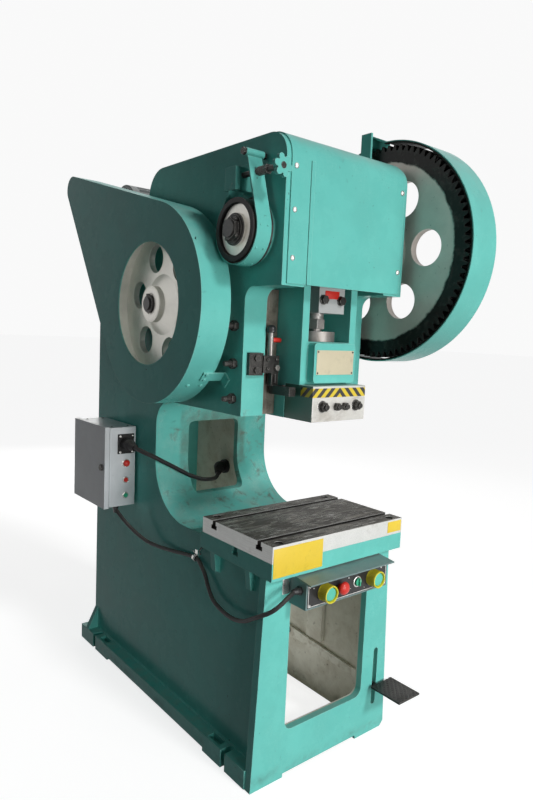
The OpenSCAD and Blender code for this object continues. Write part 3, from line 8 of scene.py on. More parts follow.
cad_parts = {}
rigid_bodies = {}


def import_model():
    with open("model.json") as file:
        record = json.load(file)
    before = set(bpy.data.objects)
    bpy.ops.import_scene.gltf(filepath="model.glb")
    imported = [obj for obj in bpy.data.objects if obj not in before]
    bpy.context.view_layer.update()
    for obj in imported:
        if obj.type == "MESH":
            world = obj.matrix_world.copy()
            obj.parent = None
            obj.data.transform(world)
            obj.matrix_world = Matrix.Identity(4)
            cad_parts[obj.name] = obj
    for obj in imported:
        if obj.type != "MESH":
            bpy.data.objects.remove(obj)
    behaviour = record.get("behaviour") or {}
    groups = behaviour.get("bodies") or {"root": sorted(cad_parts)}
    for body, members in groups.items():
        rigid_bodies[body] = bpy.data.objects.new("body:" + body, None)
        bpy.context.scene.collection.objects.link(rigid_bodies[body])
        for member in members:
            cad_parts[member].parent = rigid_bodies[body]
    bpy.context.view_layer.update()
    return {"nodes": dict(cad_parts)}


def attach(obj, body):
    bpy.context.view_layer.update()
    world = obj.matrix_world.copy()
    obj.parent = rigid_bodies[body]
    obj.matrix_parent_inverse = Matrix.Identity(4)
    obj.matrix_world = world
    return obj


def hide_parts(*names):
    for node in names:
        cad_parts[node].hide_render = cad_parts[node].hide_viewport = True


# Lengths of the part are in millimetres; y is the distance behind the bolster's front edge, as in the CAD.
# at() turns such a point into the shared frame. Camera, floor and lamps are placed in that frame, in metres.

for leftover in list(bpy.data.objects):
    bpy.data.objects.remove(leftover)
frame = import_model()
nodes = frame["nodes"]
scene = bpy.context.scene

MM = 0.001
SETBACK = 639
CRANK_Y, CRANK_Z = 172, 1635
CRANK = (CRANK_Y, CRANK_Z)
DRIVE_Y, DRIVE_Z = 541.656, 1426.71
DRIVE = (DRIVE_Y, DRIVE_Z)
MOTOR_Y, MOTOR_Z = 1071.562, 1811.709
BRAKE_ROD = (-296, 1789)
CABINET_FRONT = 844
CABLE_SOCKET = (-305, 915)
BUTTON_FACE = -35
BUTTON_Z = 603
PALM_X, STOP_X, SELECTOR_X = 104, -38, 36


def at(x, y, z):
    return Vector((x, y - SETBACK, z)) * MM


def linked(name, data):
    thing = bpy.data.objects.new(name, data)
    scene.collection.objects.link(thing)
    return thing


# Shapes

class Form:
    """One piece under construction, in millimetres."""

    def __init__(self):
        self.mesh = bmesh.new()

    def take(self, part, turn=None):
        if turn is not None:
            bmesh.ops.transform(part, matrix=turn, verts=part.verts)
        bmesh.ops.recalc_face_normals(part, faces=part.faces)
        shape = bpy.data.meshes.new("part")
        part.to_mesh(shape)
        part.free()
        self.mesh.from_mesh(shape)
        bpy.data.meshes.remove(shape)
        return self

    def loft(self, rows, closed=False, turn=None):
        """Faces between rows of points; closed joins the last row to the first, otherwise both are capped."""
        part = bmesh.new()
        rows = [[part.verts.new(point) for point in row] for row in rows]
        pairs = list(zip(rows, rows[1:]))
        if closed:
            pairs.append((rows[-1], rows[0]))
        for low, high in pairs:
            for i in range(len(low)):
                k = (i + 1) % len(low)
                part.faces.new((low[i], low[k], high[k], high[i]))
        if not closed:
            part.faces.new(rows[0])
            part.faces.new(rows[-1])
        return self.take(part, turn)

    def box(self, x0, x1, y0, y1, z0, z1, soft=0.0, turn=None):
        part = bmesh.new()
        bmesh.ops.create_cube(part, size=1)
        size = Matrix.Diagonal((x1 - x0, y1 - y0, z1 - z0, 1))
        middle = Matrix.Translation(((x0 + x1) / 2, (y0 + y1) / 2, (z0 + z1) / 2))
        bmesh.ops.transform(part, matrix=middle @ size, verts=part.verts)
        if soft > 0:
            bmesh.ops.bevel(part, geom=part.edges[:], offset=soft, segments=3, profile=0.5, affect="EDGES")
        return self.take(part, turn)

    def turned(self, axis, centre, profile, sides=40, closed=False, base=0, turn=None):
        """A profile of (distance from base along the axis, radius) turned about the axis through centre."""
        angles = [2 * math.pi * i / sides for i in range(sides)]
        rows = [[around(axis, centre, base + along, radius, a) for a in angles] for along, radius in profile]
        return self.loft(rows, closed, turn)

    def aimed(self, place, direction, profile, sides=32):
        """A turned profile that starts at place and points along direction."""
        lean = Vector((0, 0, 1)).rotation_difference(Vector(direction)).to_matrix().to_4x4()
        return self.turned("z", (0, 0), profile, sides, turn=Matrix.Translation(place) @ lean)

    def outward(self, centre, x, radius, degrees, profile, sides):
        """A turned profile that points away from an axis along X through centre."""
        a = math.radians(degrees)
        return self.aimed(around("x", centre, x, radius, a), around("x", (0, 0), 0, 1, a), profile, sides)

    def pierced(self, axis, low, high, outline, holes):
        """A flat plate from low to high along the axis, with holes through it."""
        part = bmesh.new()
        edges = []
        for loop in [outline] + holes:
            verts = [part.verts.new(laid(axis, low, u, v)) for u, v in loop]
            edges += [part.edges.new(pair) for pair in zip(verts, verts[1:] + verts[:1])]
        bmesh.ops.triangle_fill(part, use_beauty=True, use_dissolve=False, edges=edges)
        grown = bmesh.ops.extrude_face_region(part, geom=part.faces[:])["geom"]
        moved = [g for g in grown if isinstance(g, bmesh.types.BMVert)]
        bmesh.ops.translate(part, vec=laid(axis, high - low, 0, 0), verts=moved)
        return self.take(part)

    def rod(self, axis, centre, start, end, radius, soft, sides=32):
        """A round bar whose ends are eased by soft."""
        s = min(soft, radius * 0.9, abs(end - start) * 0.45)
        step = 1 if end > start else -1
        q = 0.3 * s
        return self.turned(axis, centre, [
            (start, radius - s), (start + step * q, radius - q), (start + step * s, radius),
            (end - step * s, radius), (end - step * q, radius - q), (end, radius - s)], sides)

    def hexagon(self, axis, centre, start, end, across, angle=0.0):
        """A nut or bolt head with its corners turned off at the outer end."""
        radius = across / 2 / math.cos(math.pi / 6)
        step = 1 if end > start else -1
        profile = ((start, radius), (end - step * across * 0.06, radius), (end, radius * 0.86))
        return self.loft([[around(axis, centre, along, r, angle + i * math.pi / 3) for i in range(6)]
                          for along, r in profile])

    def screws(self, axis, along, step, places, radius, height, slotted=True):
        """Round screw heads that stand out by height in the direction of step."""
        top = along + step * height
        for u, v in places:
            self.turned(axis, (u, v), [
                (along - step * 0.4, radius), (along + step * height * 0.45, radius),
                (top - step * 0.2, radius * 0.82), (top, radius * 0.6), (top, radius * 0.5),
                (along + step * height * 0.35, radius * 0.42)], 20)
            if slotted:
                outline = [(u + a * radius, v + b * radius)
                           for a, b in ((-0.5, -0.1), (0.5, -0.1), (0.5, 0.1), (-0.5, 0.1))]
                self.loft([[laid(axis, w, *point) for point in outline]
                           for w in (along + step * height * 0.2, top - step * 0.15)])
        return self

    def tube(self, points, radius, sides=8, closed=False):
        """A round bar through the points; radius may be a list."""
        path = [Vector(p) for p in points]
        count = len(path)
        radii = radius if isinstance(radius, list) else [radius] * count
        angles = [2 * math.pi * i / sides for i in range(sides)]
        rows = []
        last = None
        for i, p in enumerate(path):
            before = path[i - 1] if i > 0 or closed else path[0]
            after = path[(i + 1) % count] if i < count - 1 or closed else path[-1]
            ahead = (after - before).normalized()
            if last is None:
                up = Vector((0, 0, 1)) if abs(ahead.z) < 0.9 else Vector((1, 0, 0))
                last = ahead.cross(up).normalized()
            else:
                last = (last - ahead * last.dot(ahead)).normalized()
            other = ahead.cross(last)
            rows.append([p + radii[i] * (math.cos(a) * last + math.sin(a) * other) for a in angles])
        return self.loft(rows, closed)

    def weld(self, points, radius, seed):
        """A weld bead with its ripples along the points."""
        rng = random.Random(seed)
        path = evenly(points, radius * 0.9)
        return self.tube(path, [radius * (0.82 + 0.28 * rng.random()) for _ in path])

    def done(self, name, material, body="frame", replaces=None, turn_limit=35):
        """Makes the piece an object that rides on its body and takes its finish from its material's slot."""
        shape = bpy.data.meshes.new(name)
        for vert in self.mesh.verts:
            vert.co = at(*vert.co)
        self.mesh.to_mesh(shape)
        self.mesh.free()
        shape.polygons.foreach_set("use_smooth", [True] * len(shape.polygons))
        shape.set_sharp_from_angle(angle=math.radians(turn_limit))
        piece = linked(name, shape)
        shape.materials.append(material)
        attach(piece, body)
        if replaces is not None:
            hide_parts(replaces)


def around(axis, centre, along, radius, a):
    """A point at an angle round an axis that runs along X, Y or Z through centre (two numbers)."""
    return laid(axis, along, centre[0] + radius * math.cos(a), centre[1] + radius * math.sin(a))


def laid(axis, along, u, v):
    if axis == "x":
        return Vector((along, u, v))
    if axis == "y":
        return Vector((u, along, v))
    return Vector((u, v, along))


def circle(axis, centre, along, radius, start=0, end=360, count=72):
    """Points on a circle or an arc; angles in degrees."""
    steps = count if end - start == 360 else count + 1
    return [around(axis, centre, along, radius, math.radians(start + (end - start) * i / count))
            for i in range(steps)]


def evenly(points, step):
    """Evenly spaced points along straight runs."""
    path = []
    for a, b in zip(points, points[1:]):
        a, b = Vector(a), Vector(b)
        count = max(1, round((b - a).length / step))
        path += [a.lerp(b, i / count) for i in range(count)]
    return path + [Vector(points[-1])]


def smooth(route, steps=6):
    """Points on a smooth curve through the route."""
    path = []
    for i in range(len(route) - 1):
        a, b, c, d = (Vector(route[min(max(k, 0), len(route) - 1)]) for k in (i - 1, i, i + 1, i + 2))
        for k in range(steps):
            u = k / steps
            path.append(0.5 * (2 * b + (c - a) * u + (2 * a - 5 * b + 4 * c - d) * u * u
                               + (3 * b - a - 3 * c + d) * u ** 3))
    return path + [Vector(route[-1])]


def rounded(u0, u1, v0, v1, r):
    """The outline of a rectangle with round corners."""
    centres = ((u1 - r, v1 - r), (u0 + r, v1 - r), (u0 + r, v0 + r), (u1 - r, v0 + r))
    return [point.xy for i, centre in enumerate(centres)
            for point in circle("z", centre, 0, r, 90 * i, 90 * i + 90, 5)]


def corners(u0, u1, v0, v1):
    return [(u, v) for v in (v0, v1) for u in (u0, u1)]


# Node helpers

def put(tree, kind, sockets=None, **settings):
    """Adds a node; a socket's value is a number, a colour or another node's output."""
    node = tree.nodes.new(kind)
    for name, value in settings.items():
        setattr(node, name, value)
    for name, value in (sockets or {}).items():
        join(tree, value, node.inputs[name])
    return node


def join(tree, value, socket):
    if isinstance(value, bpy.types.NodeSocket):
        tree.links.new(value, socket)
    elif isinstance(value, tuple) and len(value) == 3 and socket.type == "RGBA":
        socket.default_value = (*value, 1)
    else:
        socket.default_value = value


def calc(tree, operation, a, b=0.5, c=0.5, clamp=False):
    node = put(tree, "ShaderNodeMath", operation=operation, use_clamp=clamp)
    for socket, value in zip(node.inputs, (a, b, c)):
        join(tree, value, socket)
    return node.outputs[0]


def vector(tree, operation, a, b=(0, 0, 0)):
    node = put(tree, "ShaderNodeVectorMath", {0: a, 1: b}, operation=operation)
    return node.outputs["Value" if operation in ("LENGTH", "DOT_PRODUCT") else "Vector"]


def mix(tree, factor, a, b):
    return put(tree, "ShaderNodeMix", {0: factor, 6: a, 7: b}, data_type="RGBA", clamp_factor=True).outputs[2]


def level(tree, value, low, high, to_low=0.0, to_high=1.0):
    """Turns low..high smoothly into to_low..to_high."""
    node = put(tree, "ShaderNodeMapRange", {
        "Value": value, "From Min": low, "From Max": high, "To Min": to_low, "To Max": to_high},
        interpolation_type="SMOOTHSTEP")
    return node.outputs["Result"]


def noise(tree, where, scale, detail, rough=0.55, warp=0.0):
    node = put(tree, "ShaderNodeTexNoise", {
        "Vector": where, "Scale": scale, "Detail": detail, "Roughness": rough, "Distortion": warp})
    return node.outputs["Fac"]


def effect(vectors, floats):
    """Makes a node group of a function that takes the group's inputs and returns its named outputs."""
    def make(build):
        tree = bpy.data.node_groups.new(build.__name__, "ShaderNodeTree")
        kinds = {label: "Vector" for label in vectors.split()} | {label: "Float" for label in floats.split()}
        for label, kind in kinds.items():
            tree.interface.new_socket(name=label, in_out="INPUT", socket_type="NodeSocket" + kind)
        given = put(tree, "NodeGroupInput").outputs
        made = build(tree, *(given[label] for label in kinds))
        for label, value in made.items():
            kind = "Vector" if value.type == "VECTOR" else "Float"
            tree.interface.new_socket(name=label, in_out="OUTPUT", socket_type="NodeSocket" + kind)
        put(tree, "NodeGroupOutput", made)
        return tree
    return make


# Effects used by more than one material

@effect("Place", "Width Breakup")
def worn_edges(tree, place, width, breakup):
    """Where sharp outer edges are rubbed, broken up by noise, and a normal that rounds them."""
    soft = put(tree, "ShaderNodeBevel", {"Radius": width}, samples=5).outputs[0]
    flat = put(tree, "ShaderNodeNewGeometry").outputs["Normal"]
    rub = level(tree, vector(tree, "DOT_PRODUCT", soft, flat), 0.998, 0.93)
    grain = calc(tree, "SUBTRACT", noise(tree, place, breakup, 6, 0.65), 0.5)
    broken = level(tree, calc(tree, "ADD", rub, grain), 0.45, 0.8)
    return {"Mask": calc(tree, "MULTIPLY", broken, rub), "Round Normal": soft}


@effect("Place", "Peel Waves")
def paint_skin(tree, place, peel, waves):
    """Height of brushed paint over filled castings: long waves, orange peel and a few runs."""
    wave = calc(tree, "MULTIPLY", noise(tree, place, 9, 2, 0.4), waves)
    upright = put(tree, "ShaderNodeMapping", {"Vector": place, "Scale": (1.0, 1.0, 0.16)}).outputs[0]
    total = calc(tree, "MULTIPLY_ADD", noise(tree, place, 260, 3), peel, wave)
    return {"Height": calc(tree, "MULTIPLY_ADD", noise(tree, upright, 55, 2, 0.5), 0.12, total)}


@effect("Place", "Scale Cover Soft")
def blotches(tree, place, scale, cover, soft):
    """Soft or hard patches from noise; cover moves from none at 0 to all at 1."""
    middle = level(tree, cover, 0, 1, 0.72, 0.28)
    low, high = calc(tree, "SUBTRACT", middle, soft), calc(tree, "ADD", middle, soft)
    return {"Mask": level(tree, noise(tree, place, scale, 7, 0.62, 0.4), low, high)}


@effect("Place", "Scale")
def scratches(tree, place, scale):
    """Thin scratches in several directions."""
    total = 0.0
    lays = (((0.3, 0.2, 0.5), (1, 9, 9)), ((1.1, 0.5, 2.0), (8, 1, 9)), ((0.2, 1.3, 0.9), (9, 8, 1)))
    for turn, size in lays:
        lay = put(tree, "ShaderNodeMapping", {"Vector": place, "Rotation": turn, "Scale": size}).outputs[0]
        line = calc(tree, "SUBTRACT", noise(tree, lay, scale, 2, 0.5, 0.6), 0.5)
        total = calc(tree, "MAXIMUM", total, level(tree, calc(tree, "ABSOLUTE", line), 0.012, 0.0))
    patch = level(tree, noise(tree, place, 11, 3), 0.42, 0.62)
    return {"Mask": calc(tree, "MULTIPLY", total, patch)}


@effect("Place", "Amount")
def settled_dust(tree, place, amount):
    """Dust and oil mist on faces that look up."""
    face = put(tree, "ShaderNodeNewGeometry")
    up = put(tree, "ShaderNodeSeparateXYZ", {"Vector": face.outputs["Normal"]}).outputs["Z"]
    cloud = level(tree, noise(tree, place, 16, 6, 0.6), 0.3, 0.7)
    lying = calc(tree, "MULTIPLY", level(tree, up, 0.25, 0.95), cloud)
    return {"Mask": calc(tree, "MULTIPLY", lying, amount)}


@effect("Place Centre", "Inner Outer Soft Ragged")
def radius_ring(tree, place, centre, inner, outer, soft, ragged):
    """1 between two radii about an axis along X, with an uneven edge."""
    off = vector(tree, "MULTIPLY", vector(tree, "SUBTRACT", place, centre), (0, 1, 1))
    stir = calc(tree, "SUBTRACT", noise(tree, place, 24, 5, 0.6), 0.5)
    radius = calc(tree, "MULTIPLY_ADD", stir, ragged, vector(tree, "LENGTH", off))
    over = level(tree, radius, calc(tree, "SUBTRACT", inner, soft), inner)
    under = level(tree, radius, outer, calc(tree, "SUBTRACT", outer, soft))
    return {"Mask": calc(tree, "MULTIPLY", over, under)}


@effect("Place Low High", "Soft")
def inside_box(tree, place, low, high, soft):
    """1 inside a box of the shared frame, fading over soft metres inside its faces."""
    gap = vector(tree, "MINIMUM", vector(tree, "SUBTRACT", place, low), vector(tree, "SUBTRACT", high, place))
    x, y, z = put(tree, "ShaderNodeSeparateXYZ", {"Vector": gap}).outputs
    least = calc(tree, "MINIMUM", calc(tree, "MINIMUM", x, y), z)
    return {"Mask": level(tree, least, 0.0, soft)}


@effect("Direction", "")
def facing(tree, direction):
    """How far a face looks along a direction, as a mask."""
    face = put(tree, "ShaderNodeNewGeometry")
    turn = vector(tree, "DOT_PRODUCT", face.outputs["Normal"], direction)
    return {"Mask": level(tree, turn, 0.6, 0.9)}


@effect("Place Stretch", "Scale")
def tool_marks(tree, place, stretch, scale):
    """Fine parallel lines along one direction, as from milling or turning."""
    return {"Value": noise(tree, vector(tree, "MULTIPLY", place, stretch), scale, 3, 0.6)}


class Finish:
    """A material built up in layers of colour, roughness, metal and height."""

    def __init__(self, name, colour, rough, spread, metal=0.0, coat=0.0, specular=0.5):
        self.material = bpy.data.materials.new(name)
        self.material.use_nodes = True
        self.tree = self.material.node_tree
        self.tree.nodes.clear()
        self.place = put(self.tree, "ShaderNodeTexCoord").outputs["Object"]
        self.shader = put(self.tree, "ShaderNodeBsdfPrincipled", {
            "Coat Roughness": 0.12, "Specular IOR Level": specular, "Coat Weight": coat})
        put(self.tree, "ShaderNodeOutputMaterial", {"Surface": self.shader.outputs[0]})
        cloud = noise(self.tree, self.place, 7, 6, 0.6)
        tone = level(self.tree, cloud, 0.25, 0.75, 1 - spread, 1 + spread)
        toned = put(self.tree, "ShaderNodeVectorMath", {0: colour, "Scale": tone}, operation="SCALE")
        self.colour = toned.outputs["Vector"]
        self.rough = level(self.tree, cloud, 0.2, 0.8, rough * 0.85, rough * 1.2)
        self.metal = metal
        self.height = 0.0
        self.normal = None

    def over(self, mask, colour, rough=None, metal=None, amount=1.0, within=None, depth=0.0):
        """Lays a finish over what is there, where mask is 1, and within too; returns that mask."""
        if within is not None:
            mask = calc(self.tree, "MULTIPLY", mask, within)
        if depth:
            self.raise_by(mask, depth)
        mask = calc(self.tree, "MULTIPLY", mask, amount, clamp=True)
        self.colour = mix(self.tree, mask, self.colour, colour)
        if rough is not None:
            self.rough = self.between(mask, self.rough, rough)
        if metal is not None:
            self.metal = self.between(mask, self.metal, metal)
        return mask

    def between(self, mask, a, b):
        node = put(self.tree, "ShaderNodeMix", {0: mask, 2: a, 3: b}, data_type="FLOAT", clamp_factor=True)
        return node.outputs[0]

    def raise_by(self, value, amount):
        self.height = calc(self.tree, "MULTIPLY_ADD", value, amount, self.height)

    def made(self, group, output="Mask", **sockets):
        """The output of an effect."""
        node = put(self.tree, "ShaderNodeGroup", node_tree=group)
        for name, value in sockets.items():
            join(self.tree, value, node.inputs[name])
        return node.outputs[output]

    def edges(self, colour, amount, width, breakup, rough=None, metal=None):
        mask = self.made(worn_edges, Place=self.place, Width=width, Breakup=breakup)
        self.normal = mask.node.outputs["Round Normal"]
        self.over(mask, colour, rough, metal, amount)

    def skin(self, peel, waves, amount=1.0):
        self.raise_by(self.made(paint_skin, "Height", Place=self.place, Peel=peel, Waves=waves), amount)

    def patches(self, scale, cover, soft, colour, amount, rough=None, within=None, depth=0.0):
        mask = self.made(blotches, Place=self.place, Scale=scale, Cover=cover, Soft=soft)
        self.over(mask, colour, rough, None, amount, within, depth)

    def scratches(self, scale, colour, amount, rough, metal=None, within=None):
        mask = self.made(scratches, Place=self.place, Scale=scale)
        self.over(mask, colour, rough, metal, amount, within)

    def dust(self, colour, amount, rough=0.7):
        self.over(self.made(settled_dust, Place=self.place, Amount=amount), colour, rough)

    def box(self, low, high, soft):
        return self.made(inside_box, Place=self.place, Low=tuple(at(*low)), High=tuple(at(*high)),
                         Soft=soft * MM)

    def ring(self, centre, inner, outer, soft, ragged):
        return self.made(radius_ring, Place=self.place, Centre=tuple(at(0, *centre)), Inner=inner * MM,
                         Outer=outer * MM, Soft=soft * MM, Ragged=ragged * MM)

    def facing(self, direction):
        return self.made(facing, Direction=direction)

    def marks(self, stretch, scale):
        return self.made(tool_marks, "Value", Place=self.place, Stretch=stretch, Scale=scale)

    def streaks(self, stretch, scale, rough, warp, low, high):
        """Cloudy smears, drawn out where the stretch is small."""
        where = vector(self.tree, "MULTIPLY", self.place, stretch)
        return level(self.tree, noise(self.tree, where, scale, 6, rough, warp), low, high)

    def done(self, bump=0.0006):
        if isinstance(self.height, bpy.types.NodeSocket):
            rise = put(self.tree, "ShaderNodeBump", {
                "Height": self.height, "Distance": bump, "Strength": 1.0})
            if self.normal is not None:
                join(self.tree, self.normal, rise.inputs["Normal"])
            self.normal = rise.outputs[0]
        for name, value in (("Base Color", self.colour), ("Roughness", self.rough), ("Metallic", self.metal),
                            ("Normal", self.normal)):
            join(self.tree, value, self.shader.inputs[name])
        return self.material


# Materials; patches take scale, cover, softness, colour, amount, roughness, mask and height

TEAL = (0.155, 0.57, 0.51)
TEAL_LIGHT = (0.34, 0.74, 0.67)
IRON = (0.045, 0.042, 0.04)
CREAM = (0.76, 0.75, 0.66)
CREAM_STAIN = (0.40, 0.36, 0.27)
DUSTY = (0.36, 0.38, 0.34)
STRIPE = 34


def tinted(colour, factor, lift=0.0):
    return tuple(min(1, c * factor + lift) for c in colour)


def teal_enamel(name):
    coat = Finish(name, TEAL, 0.26, 0.06, coat=0.035, specular=0.06)
    coat.patches(3.2, 0.45, 0.25, (0.10, 0.47, 0.43), 0.35)
    coat.patches(30, 0.12, 0.08, (0.07, 0.26, 0.23), 0.55, 0.42)
    coat.scratches(26, TEAL_LIGHT, 0.25, 0.4)
    coat.edges(TEAL_LIGHT, 0.75, 0.003, 40, 0.38)
    coat.patches(85, 0.11, 0.03, IRON, 0.85, 0.6, depth=-0.5)
    coat.dust(DUSTY, 0.35)
    coat.skin(0.22, 0.7)
    return coat


def frame_paint():
    coat = teal_enamel("frame_paint")
    throat = coat.box((-249, 150, 655), (249, 730, 1120), 6)
    coat.patches(22, 0.30, 0.1, (0.16, 0.13, 0.10), 0.75, 0.5, throat)
    coat.scratches(40, (0.55, 0.72, 0.66), 0.75, 0.4, within=throat)
    window = coat.box((-160, 690, 700), (160, 760, 1080), 20)
    coat.patches(9, 0.62, 0.2, (0.12, 0.10, 0.07), 0.6, 0.45, window)
    inner = calc(coat.tree, "MAXIMUM", coat.box((-250, 58, -20), (250, 1162, 660), 3),
                 coat.box((-243, 730, 640), (243, 1162, 1625), 3))
    coat.over(inner, CREAM, 0.5)
    coat.patches(12, 0.42, 0.2, CREAM_STAIN, 0.6, 0.55, inner)
    coat.patches(50, 0.2, 0.06, (0.12, 0.10, 0.075), 0.6, 0.6, inner)
    foot = coat.box((-400, -100, -5), (400, 1400, 60), 50)
    coat.patches(14, 0.4, 0.15, (0.08, 0.09, 0.075), 0.6, 0.6, foot)
    return coat.done()


def guard_paint_with_painted_shade():
    """Enamel with painted shade inside the hoop: near black round the gear's teeth, with patches of dark teal
    grease that the gear has splashed.
    """
    coat = teal_enamel("guard_paint_with_painted_shade")
    # Painted shade: the inside of the hoop is painted near black, standing for the shade between the teeth
    # and the guard.
    inside = coat.ring(CRANK, 300, 363, 0.4, 0)
    coat.over(inside, (0.016, 0.016, 0.014), 0.45)
    coat.patches(30, 0.3, 0.15, (0.045, 0.08, 0.07), 0.5, 0.5, inside)
    return coat.done()


def gear_paint():
    """Thin paint on the web, a machined hub and greased teeth."""
    coat = Finish("gear_paint", (0.66, 0.60, 0.55), 0.42, 0.1, metal=0.3, specular=0.2)
    coat.patches(10, 0.4, 0.2, (0.46, 0.42, 0.38), 0.4, 0.45)
    coat.patches(60, 0.15, 0.05, (0.06, 0.055, 0.05), 0.8, 0.4)
    coat.over(coat.ring(CRANK, 0, 104, 5, 6), (0.62, 0.62, 0.60), 0.3, 0.75)
    coat.over(coat.ring(CRANK, 0, 67, 1, 0), (0.70, 0.70, 0.69), 0.22, 0.95)
    coat.edges((0.55, 0.58, 0.55), 0.5, 0.002, 50, 0.4)
    grease = coat.ring(CRANK, 300, 400, 10, 26)
    coat.over(grease, (0.012, 0.011, 0.010), 0.30, 0.0)
    coat.patches(40, 0.35, 0.12, (0.10, 0.095, 0.085), 0.4, 0.22, grease, 1.2)
    coat.skin(0.25, 0.6)
    return coat.done()


def wheel_paint():
    """Pale paint, rubbed dark where the belts run."""
    coat = Finish("wheel_paint", (0.80, 0.78, 0.72), 0.42, 0.07, metal=0.6)
    coat.patches(12, 0.35, 0.2, (0.52, 0.51, 0.47), 0.35, 0.5)
    coat.patches(70, 0.12, 0.04, (0.09, 0.08, 0.065), 0.8, 0.5)
    coat.edges((0.66, 0.65, 0.60), 0.5, 0.002, 50, 0.4)
    belts = coat.box((-375, 200, 1080), (-313, 900, 1800), 2)
    coat.over(coat.ring(DRIVE, 270, 330, 3, 2), (0.16, 0.15, 0.14), 0.35, 0.6, 0.8, belts)
    coat.skin(0.3, 0.7)
    return coat.done()


def bare_metal(name, colour, rough, stretch=(1, 18, 18), scale=40, metal=0.9, stain=(0.16, 0.13, 0.10),
               stained=0.3):
    coat = Finish(name, colour, rough, 0.07, metal=metal)
    lines = coat.marks(stretch, scale)
    coat.over(level(coat.tree, lines, 0.35, 0.7), tinted(colour, 0.8), amount=0.6)
    coat.raise_by(lines, 0.25)
    coat.patches(14, stained, 0.16, stain, 0.55, rough * 1.5)
    coat.scratches(40, (0.85, 0.85, 0.83), 0.5, rough * 0.8)
    coat.edges((0.80, 0.80, 0.78), 0.7, 0.0016, 60, rough * 0.7)
    return coat


def black_oxide(name, colour=(0.020, 0.019, 0.018), rough=0.36):
    coat = Finish(name, colour, rough, 0.2, metal=0.2, specular=0.25)
    coat.patches(35, 0.3, 0.12, (0.045, 0.04, 0.033), 0.6, 0.5)
    coat.scratches(45, (0.36, 0.35, 0.33), 0.5, 0.3, 0.8)
    coat.edges((0.33, 0.32, 0.30), 0.65, 0.0014, 70, 0.3, 0.8)
    coat.skin(0.5, 0.3)
    return coat


def plastic(name, colour, rough=0.32):
    coat = Finish(name, colour, rough, 0.05, coat=0.1, specular=0.3)
    coat.patches(30, 0.22, 0.14, tinted(colour, 0.55), 0.45, rough * 1.4)
    coat.scratches(50, tinted(colour, 1.5, 0.08), 0.35, 0.5)
    coat.edges(tinted(colour, 1.3, 0.05), 0.5, 0.0012, 80)
    coat.skin(0.4, 0.2, 0.6)
    return coat.done(0.0003)


def rubber(name, colour=(0.016, 0.016, 0.017), rough=0.5):
    coat = Finish(name, colour, rough, 0.12, specular=0.2)
    coat.patches(26, 0.35, 0.18, (0.035, 0.033, 0.03), 0.5, 0.7)
    coat.dust((0.20, 0.19, 0.17), 0.4, 0.8)
    coat.edges((0.08, 0.08, 0.08), 0.4, 0.0012, 70)
    coat.skin(0.8, 0.3, 0.5)
    return coat.done(0.0004)


def drum_paint():
    coat = Finish("drum_paint", (0.84, 0.82, 0.76), 0.42, 0.1, metal=0.6)
    coat.patches(26, 0.3, 0.15, (0.52, 0.50, 0.44), 0.4, 0.5)
    dark = calc(coat.tree, "MAXIMUM", coat.ring(CRANK, -10, 46, 2, 3), coat.ring(CRANK, 72, 120, 2, 3))
    coat.over(dark, (0.016, 0.015, 0.014), 0.38, 0.0)
    coat.scratches(40, (0.75, 0.74, 0.70), 0.4, 0.35, 0.5)
    coat.skin(0.3, 0.5)
    return coat.done()


def shaft_steel():
    """Turned steel whose free left ends are blackened."""
    coat = bare_metal("shaft_steel", (0.45, 0.44, 0.42), 0.3, (22, 1, 1))
    ends = calc(coat.tree, "MAXIMUM", coat.box((-420, 60, 1500), (-328, 280, 1800), 1),
                coat.box((-420, 440, 1300), (-378, 640, 1560), 1))
    coat.over(ends, (0.018, 0.017, 0.016), 0.42, 0.0)
    coat.patches(60, 0.3, 0.1, (0.10, 0.09, 0.08), 0.6, 0.5, ends)
    return coat.done()


def pedal_steel():
    """Black in front of the base, and painted like the inside of the base behind its front plate."""
    coat = black_oxide("pedal_steel")
    inner = coat.box((180, 62, 60), (300, 540, 260), 4)
    coat.over(inner, CREAM, 0.5, 0.0)
    coat.patches(30, 0.4, 0.15, CREAM_STAIN, 0.7, 0.55, inner)
    return coat.done()


def bolster_steel():
    """Ground sides, an oily smeared top whose pale wavy streaks are partly smears and partly painted
    highlights, and dark slots.
    """
    coat = bare_metal("bolster_steel", (0.70, 0.71, 0.69), 0.34, (16, 1, 16), 26, 0.3, stained=0.15)
    coat.shader.inputs["Specular IOR Level"].default_value = 0.25
    top = coat.box((-300, -20, 700), (300, 380, 770), 0.5)
    film = coat.over(coat.facing((0, 0, 1)), (0.050, 0.042, 0.034), 0.6, 0.0, within=top)
    broad = coat.streaks((1.1, 5, 1), 6, 0.6, 1.6, 0.50, 0.66)
    coat.over(broad, (0.23, 0.205, 0.17), 0.5, 0.0, 0.8, film)
    # The pale wavy streaks on the dark film are both oil smears and painted highlights.
    wavy_smear_and_highlight = coat.streaks((1.8, 17, 1), 7, 0.62, 1.5, 0.55, 0.66)
    coat.over(wavy_smear_and_highlight, (0.52, 0.50, 0.46), 0.4, 0.1, 0.85, film, 0.8)
    coat.patches(20, 0.25, 0.14, (0.03, 0.026, 0.022), 0.6, 0.4, film)
    coat.scratches(36, (0.55, 0.53, 0.49), 0.9, 0.4, 0.3, film)
    slots = coat.box((-279, 1, 709), (279, 349, 757.4), 0.4)
    coat.over(slots, (0.022, 0.020, 0.018), 0.6, 0.0)
    return coat.done()


